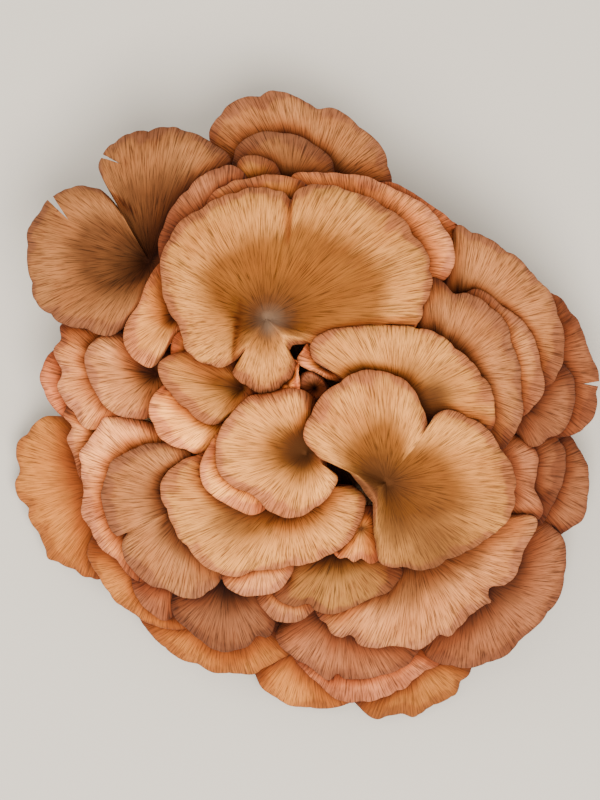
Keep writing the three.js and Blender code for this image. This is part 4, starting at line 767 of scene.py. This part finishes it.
def foldLip(fold, x, y):
    # Raised on the line's left and falling off sharply on its right, and how much painted shade darkens
    # that side
    startX, startY, endX, endY, height = fold
    length = math.hypot(endX - startX, endY - startY)
    alongX, alongY = (endX - startX) / length, (endY - startY) / length
    along = ((x - startX) * alongX + (y - startY) * alongY) / length
    left = alongX * (y - startY) - alongY * (x - startX)
    fade = np.sin(math.pi * np.clip(along * 0.9 + 0.1, 0, 1)) ** 0.6
    raised = np.exp(-left / lip["width"]) * np.clip(left / lip["rise"], 0, 1)
    rise = np.where(left > 0, raised, -lip["dip"] * np.exp(left / lip["behind"]))
    lipShade = np.where(left > 0, np.clip(1 - left / lip["darkRise"], 0, 1), np.exp(left / lip["darkReach"]))
    return height * fade * rise, fade * lipShade


def roundedEdge(steps):
    # How far the surface has turned down or up towards the middle of the rim's thickness
    half = growth["rimThickness"] / 2
    inside = min(steps / half, 1)
    return half * (1 - math.sqrt(1 - (1 - inside) ** 2))


def blur(values, steps):
    # Each value becomes the mean of its neighbours round its ring, and then of the rings beside it
    around = sum(np.roll(values, step, axis=1) for step in steps) / len(steps)
    padded = np.vstack([around[:1], around, around[-1:]])
    return (padded[:-2] + 2 * around + padded[2:]) / 4


def shelterFrom(places, ceiling):
    # How closely a higher cap shuts out the light: 1 underneath it, then less the farther away its rim is
    covered = np.isfinite(ceiling)
    shelterShade = covered.astype(float)
    if covered.any():
        rims, heights = places[covered][::2, :2], ceiling[covered][::2]
        bare = places[~covered]
        spans = ((bare[:, None, :2] - rims[None]) ** 2).sum(axis=2)
        nearest = spans.argmin(axis=1)
        least, most = growth["shelterReach"]
        reach = np.clip(growth["shelterSlope"] * (heights[nearest] - bare[:, 2]), least, most)
        shelterShade[~covered] = np.exp(-np.sqrt(spans[np.arange(len(bare)), nearest]) / reach)
        for _ in range(growth["shelterPasses"]):
            shelterShade = np.where(covered, 1, blur(shelterShade, (-2, -1, 0, 1, 2)))
    return shelterShade


belowAll = -50
upwards = Vector((0, 0, 1))


def settle(tops, unders, topPlaces, underPlaces, rim):
    # Presses a cap down wherever a higher one lies in its way, and eases the dent out over its surroundings
    dent = np.zeros(tops.shape[:2])
    ceiling = np.full(tops.shape[:2], np.inf)
    for box, tree in higherCaps:
        x, y, z = tops[..., 0], tops[..., 1], tops[..., 2]
        inside = (x > box[0]) & (x < box[1]) & (y > box[2]) & (y < box[3])
        for ring, at in zip(*np.nonzero(inside)):
            if at % 2 == 0:
                place = tree.ray_cast(Vector((x[ring, at], y[ring, at], belowAll)), upwards)[0]
                if place is not None:
                    ceiling[ring, at] = min(ceiling[ring, at], place.z)
                    dent[ring, at] = max(dent[ring, at], z[ring, at] - place.z + growth["gap"])
    dent[:, 1::2] = np.maximum(dent[:, 0::2], np.roll(dent[:, 0::2], -1, axis=1))
    dent[0] = dent[1].mean()
    needed = dent.copy()
    for _ in range(growth["dentPasses"]):
        dent = np.maximum(needed, blur(dent, (-4, -2, -1, 0, 1, 2, 4)))
    tops[..., 2] -= dent
    for at in range(rim.count):
        unders[:, at, 2] -= np.interp(underPlaces[:, at], topPlaces[:, at], dent[:, at])
    return dent[0, 0], np.repeat(shelterFrom(tops[:, ::2], ceiling[:, ::2]), 2, axis=1)


def rememberCap(unders):
    # The underside, from the rim to where the stem starts, is what lower caps are pressed down by
    thin = unders[:, ::2]
    rows, count = thin.shape[:2]
    faces = [(row * count + at, row * count + (at + 1) % count,
              (row + 1) * count + (at + 1) % count, (row + 1) * count + at)
             for row in range(rows - 1) for at in range(count)]
    tree = BVHTree.FromPolygons([tuple(corner) for corner in thin.reshape(-1, 3)], faces)
    low, high = thin.min(axis=(0, 1)), thin.max(axis=(0, 1))
    higherCaps.append(((low[0], high[0], low[1], high[1]), tree))


def growStem(cap, rim, drop, rng):
    # The stem falls from under the hub towards the cluster's axis, in a slow bend, and ends inside the base
    count = rim.count
    stem = cap.get("stem", min(max(growth["stemShare"] * rim.meanRadius, growth["thinnestStem"]),
                               growth["thickestStem"]))
    neckHeight = rim.middle[2] - rim.flesh - growth["neckDrop"] - drop
    aim = neckHeight - growth["stemSlope"] * math.hypot(*rim.hub)
    aim = min(max(aim, growth["lowestAim"]), growth["highestAim"])
    fall = np.array([-rim.hub[0], -rim.hub[1], aim - neckHeight])
    fall /= np.linalg.norm(fall)
    neck = np.array([rim.hub[0], rim.hub[1], neckHeight])
    travelled = 0.0
    while travelled < growth["longestStem"]:
        point = neck + fall * travelled
        trunkHere = trunkRadius(point[2], math.atan2(point[1], point[0]))
        if np.hypot(point[0], point[1]) < trunkHere - stem * growth["stemBite"]:
            break
        travelled += growth["stemStep"]
    sag, mostSway = (min(most, share * travelled) for most, share in (growth["sag"], growth["sway"]))
    sway = rng.uniform(-1, 1, 2) * mostSway
    ribs = sum(share * unevenWave(count, number, 1, rng) for share, number in growth["stemRibs"])
    corner = np.arange(count)
    rings = []
    for share in stemShares:
        widest = stem * (1 + (growth["neckFlare"] - 1) * (1 - min(1, share / 0.2)) ** 1.5)
        widest *= 1 + growth["foot"] * max(0, share - 0.7)
        radius = np.minimum(widest, 0.5 * growth["gillShare"] * rim.radii) * (1 + ribs * min(1, share * 6))
        radius = radius * (1 + growth["neckRibs"] * (corner % 8 == 1) * max(0, 1 - share / 0.14))
        bow = math.sin(math.pi * share)
        middle = neck + fall * travelled * share + np.array([*(sway * bow), -sag * bow])
        turning = np.stack([np.cos(rim.softTurns), np.sin(rim.softTurns), np.zeros(count)], axis=1)
        rings.append(middle + radius[:, None] * turning)
    rings.append(np.tile(rings[-1].mean(axis=0) - [0, 0, 1], (count, 1)))
    return rings


def capRings(rim, top):
    # Rings of corners over the cap's top and back under it, with their places on the way out to the rim
    count = rim.count

    def place(steps):
        return 1 - steps / np.maximum(rim.radii, growth["rollRadius"])

    innerEdge = place(growth["rollWidth"])
    hub = np.tile(rim.middle, (count, 1))
    topPlaces = [np.zeros(count), *(innerEdge * s for s in topShares), *(place(s) for s in rollSteps)]
    tops = [hub, *(top(share) for share in topPlaces[1:])]
    for steps, ring in zip(rollSteps[::-1], tops[::-1]):
        ring[:, 2] -= roundedEdge(steps)
    topPlaces.append(np.ones(count))
    tops.append(top(1.0) - [0, 0, growth["rimThickness"] / 2])

    # Gills: one in four runs all the way in, one in four half way, the rest are short
    gill = np.arange(count) // 2
    odd = np.arange(count) % 2
    start = np.array(growth["gillStarts"])[gill % 4]
    underPlaces = [*(place(s) for s in underSteps), *(innerEdge * s for s in underShares)]
    unders, ridges = [], []
    for number, share in enumerate(underPlaces):
        rimThickness = growth["rimThickness"]
        thickness = rimThickness + (rim.flesh - rimThickness) * (1 - share) ** growth["thinning"]
        relief = odd * np.clip((share - start) / growth["gillRise"], 0, 1) * min(1, number / 3)
        under = top(share)
        under[:, 2] -= thickness + relief * growth["gillDepth"] * rim.relief
        if number < len(underSteps):
            under[:, 2] += roundedEdge(underSteps[number])
        unders.append(under)
        ridges.append(relief)
    return [np.array(rings) for rings in (tops, unders, topPlaces, underPlaces, ridges)]


def markStrength(places, spots):
    strength = np.zeros(len(places))
    for x, y, reach, most in spots:
        away = (places[:, 0] - x) ** 2 + (places[:, 1] - y) ** 2
        strength = np.maximum(strength, most * np.exp(-away / reach ** 2))
    return strength


def growMushroom(cap, seed):
    rng = np.random.default_rng(seed + 11)
    rim = Outline(cap)
    count = rim.count
    tops, unders, topPlaces, underPlaces, ridges = capRings(rim, capSurface(cap, rim, seed, rng))
    drop, shelterShade = settle(tops, unders, topPlaces, underPlaces, rim)
    rememberCap(unders)
    stemRings = growStem(cap, rim, drop, rng)
    rings = np.concatenate([tops, unders, stemRings])
    shares = np.concatenate([topPlaces, underPlaces, np.zeros((len(stemRings), count))])
    ridges = np.concatenate([np.ones((len(tops), count)), ridges, np.ones((len(stemRings), count))])

    piece, ring, at = ballToRings(camelCase(cap["node"]), rings)
    mesh = piece.data
    rimRing, stemRing = len(tops) - 1, len(tops) + len(unders)
    share = shares[ring, at]
    places = rings[ring, at]
    across = rim.length / fullTurn
    along = np.where(ring < stemRing, share * rim.meanRadius, -growth["stemGrain"] * (ring - stemRing))
    turn = fullTurn * at / count
    grain = np.stack([across * np.cos(turn) + 7 * seed, across * np.sin(turn), along], axis=1)
    shelterShade = shelterShade[np.minimum(ring, rimRing), at]
    # Painted shade also darkens the skin behind each fold's lip
    for fold in cap.get("folds", ()):
        shelterShade = np.maximum(shelterShade, growth["foldShade"] * foldLip(fold, places[:, 0], places[:, 1])[1])
    shade = np.full(len(ring), cap.get("shade", 1))
    found = {"grain": grain, "zone": share, "fromRim": (1 - share) * rim.radii[at],
             "ridge": ridges[ring, at], "shelterShade": shelterShade, "shade": shade}
    for mark in marks:
        found[mark] = markStrength(places, cap.get(mark, ()))
    for name, values in found.items():
        writePattern(mesh, name, values)
    for material in (capSkins[cap["tone"]], gills, stemSkin):
        mesh.materials.append(material)
    paintFaces(mesh, ring, (rimRing, stemRing - 1))
    finishPiece(piece, cap["node"])
    return piece


tear = {
    "top": 120,  # the cutting pillars stand from the table up to here, over every cap
    "sharpest": 50,  # degrees, and edges over this stay sharp
    "unset": 0.01,  # a corner whose shade is under this has no patterns yet
}


def cutTears(piece, tears):
    # A dry margin splits in thin wedges: three-sided pillars, cut out of the cap
    for corners in tears:
        bpy.ops.object.select_all(action="DESELECT")
        bpy.ops.mesh.primitive_cylinder_add(vertices=3, radius=1, depth=2, location=(0, 0, 0))
        wedge = bpy.context.object
        turn = sum((b[0] - a[0]) * (b[1] + a[1]) for a, b in zip(corners, corners[1:] + corners[:1]))
        ordered = corners if turn < 0 else corners[::-1]
        for vertex in wedge.data.vertices:
            index = round((math.atan2(vertex.co.y, vertex.co.x) - math.pi / 2) / (fullTurn / 3)) % 3
            x, y = ordered[index]
            vertex.co = (x * mm, y * mm, tear["top"] * mm / 2 * (1 + np.sign(vertex.co.z)))
        bpy.ops.object.select_all(action="DESELECT")
        piece.select_set(True)
        bpy.context.view_layer.objects.active = piece
        cutter = piece.modifiers.new("tear", "BOOLEAN")
        cutter.operation = "DIFFERENCE"
        cutter.object = wedge
        cutter.solver = "FAST"
        bpy.ops.object.modifier_apply(modifier=cutter.name)
        bpy.data.objects.remove(wedge, do_unlink=True)
    if tears:
        bpy.ops.object.shade_smooth_by_angle(angle=math.radians(tear["sharpest"]))
        mendCutEdges(piece.data)


def mendCutEdges(mesh):
    # Corners new from the cuts carry no patterns, so each takes those of the nearest old corner
    count = len(mesh.vertices)
    shade = np.empty(count)
    mesh.attributes["shade"].data.foreach_get("value", shade)
    old, fresh = np.flatnonzero(shade > tear["unset"]), np.flatnonzero(shade <= tear["unset"])
    tree = KDTree(len(old))
    for index in old:
        tree.insert(mesh.vertices[index].co, index)
    tree.balance()
    nearest = [tree.find(mesh.vertices[index].co)[1] for index in fresh]
    for name, size in patterns.items():
        field = kinds[size][1]
        values = np.empty(count * size)
        mesh.attributes[name].data.foreach_get(field, values)
        values = values.reshape(count, size)
        values[fresh] = values[nearest]
        mesh.attributes[name].data.foreach_set(field, values.ravel())


higherCaps = []
triangles = 0
for seed, cap in sorted(enumerate(mushrooms), key=lambda item: -item[1].get("over", item[1]["tier"])):
    piece = growMushroom(cap, seed)
    cutTears(piece, cap.get("tears", []))
    piece.data.calc_loop_triangles()
    triangles += len(piece.data.loop_triangles)
print("mushrooms grown:", len(mushrooms), "with triangles:", triangles)


def growBase():
    count = trunk["corners"]
    turn = fullTurn * np.arange(count) / count
    heights = np.concatenate([np.linspace(*trunk["sideHeights"]), trunk["footHeights"]])
    faceShares = trunk["faceShares"]
    shares = np.concatenate([np.ones(len(heights) - len(faceShares)), faceShares])
    rings = [np.tile([0.0, 0.0, trunk["profile"][-1][1]], (count, 1))]
    for index, (height, share) in enumerate(zip(heights, shares)):
        rng = np.random.default_rng(trunk["seed"] + index // trunk["alike"])
        knobs = sum(out * unevenWave(count, count, length, rng) for length, out in trunk["knobs"])
        radius = trunkRadius(height, turn) * share + knobs * (1 if height > 0.5 else trunk["flatShare"])
        x, y = radius * np.cos(turn), radius * np.sin(turn)
        rings.append(np.stack([x, y, np.full(count, height)], axis=1))
    rings.append(np.zeros((count, 3)))
    rings = np.array(rings)
    piece, ring, at = ballToRings("grownBase", rings)
    writePattern(piece.data, "grain", rings[ring, at])
    piece.data.materials.append(butt)
    finishPiece(piece, "grown_base")


growBase()
print("base grown")
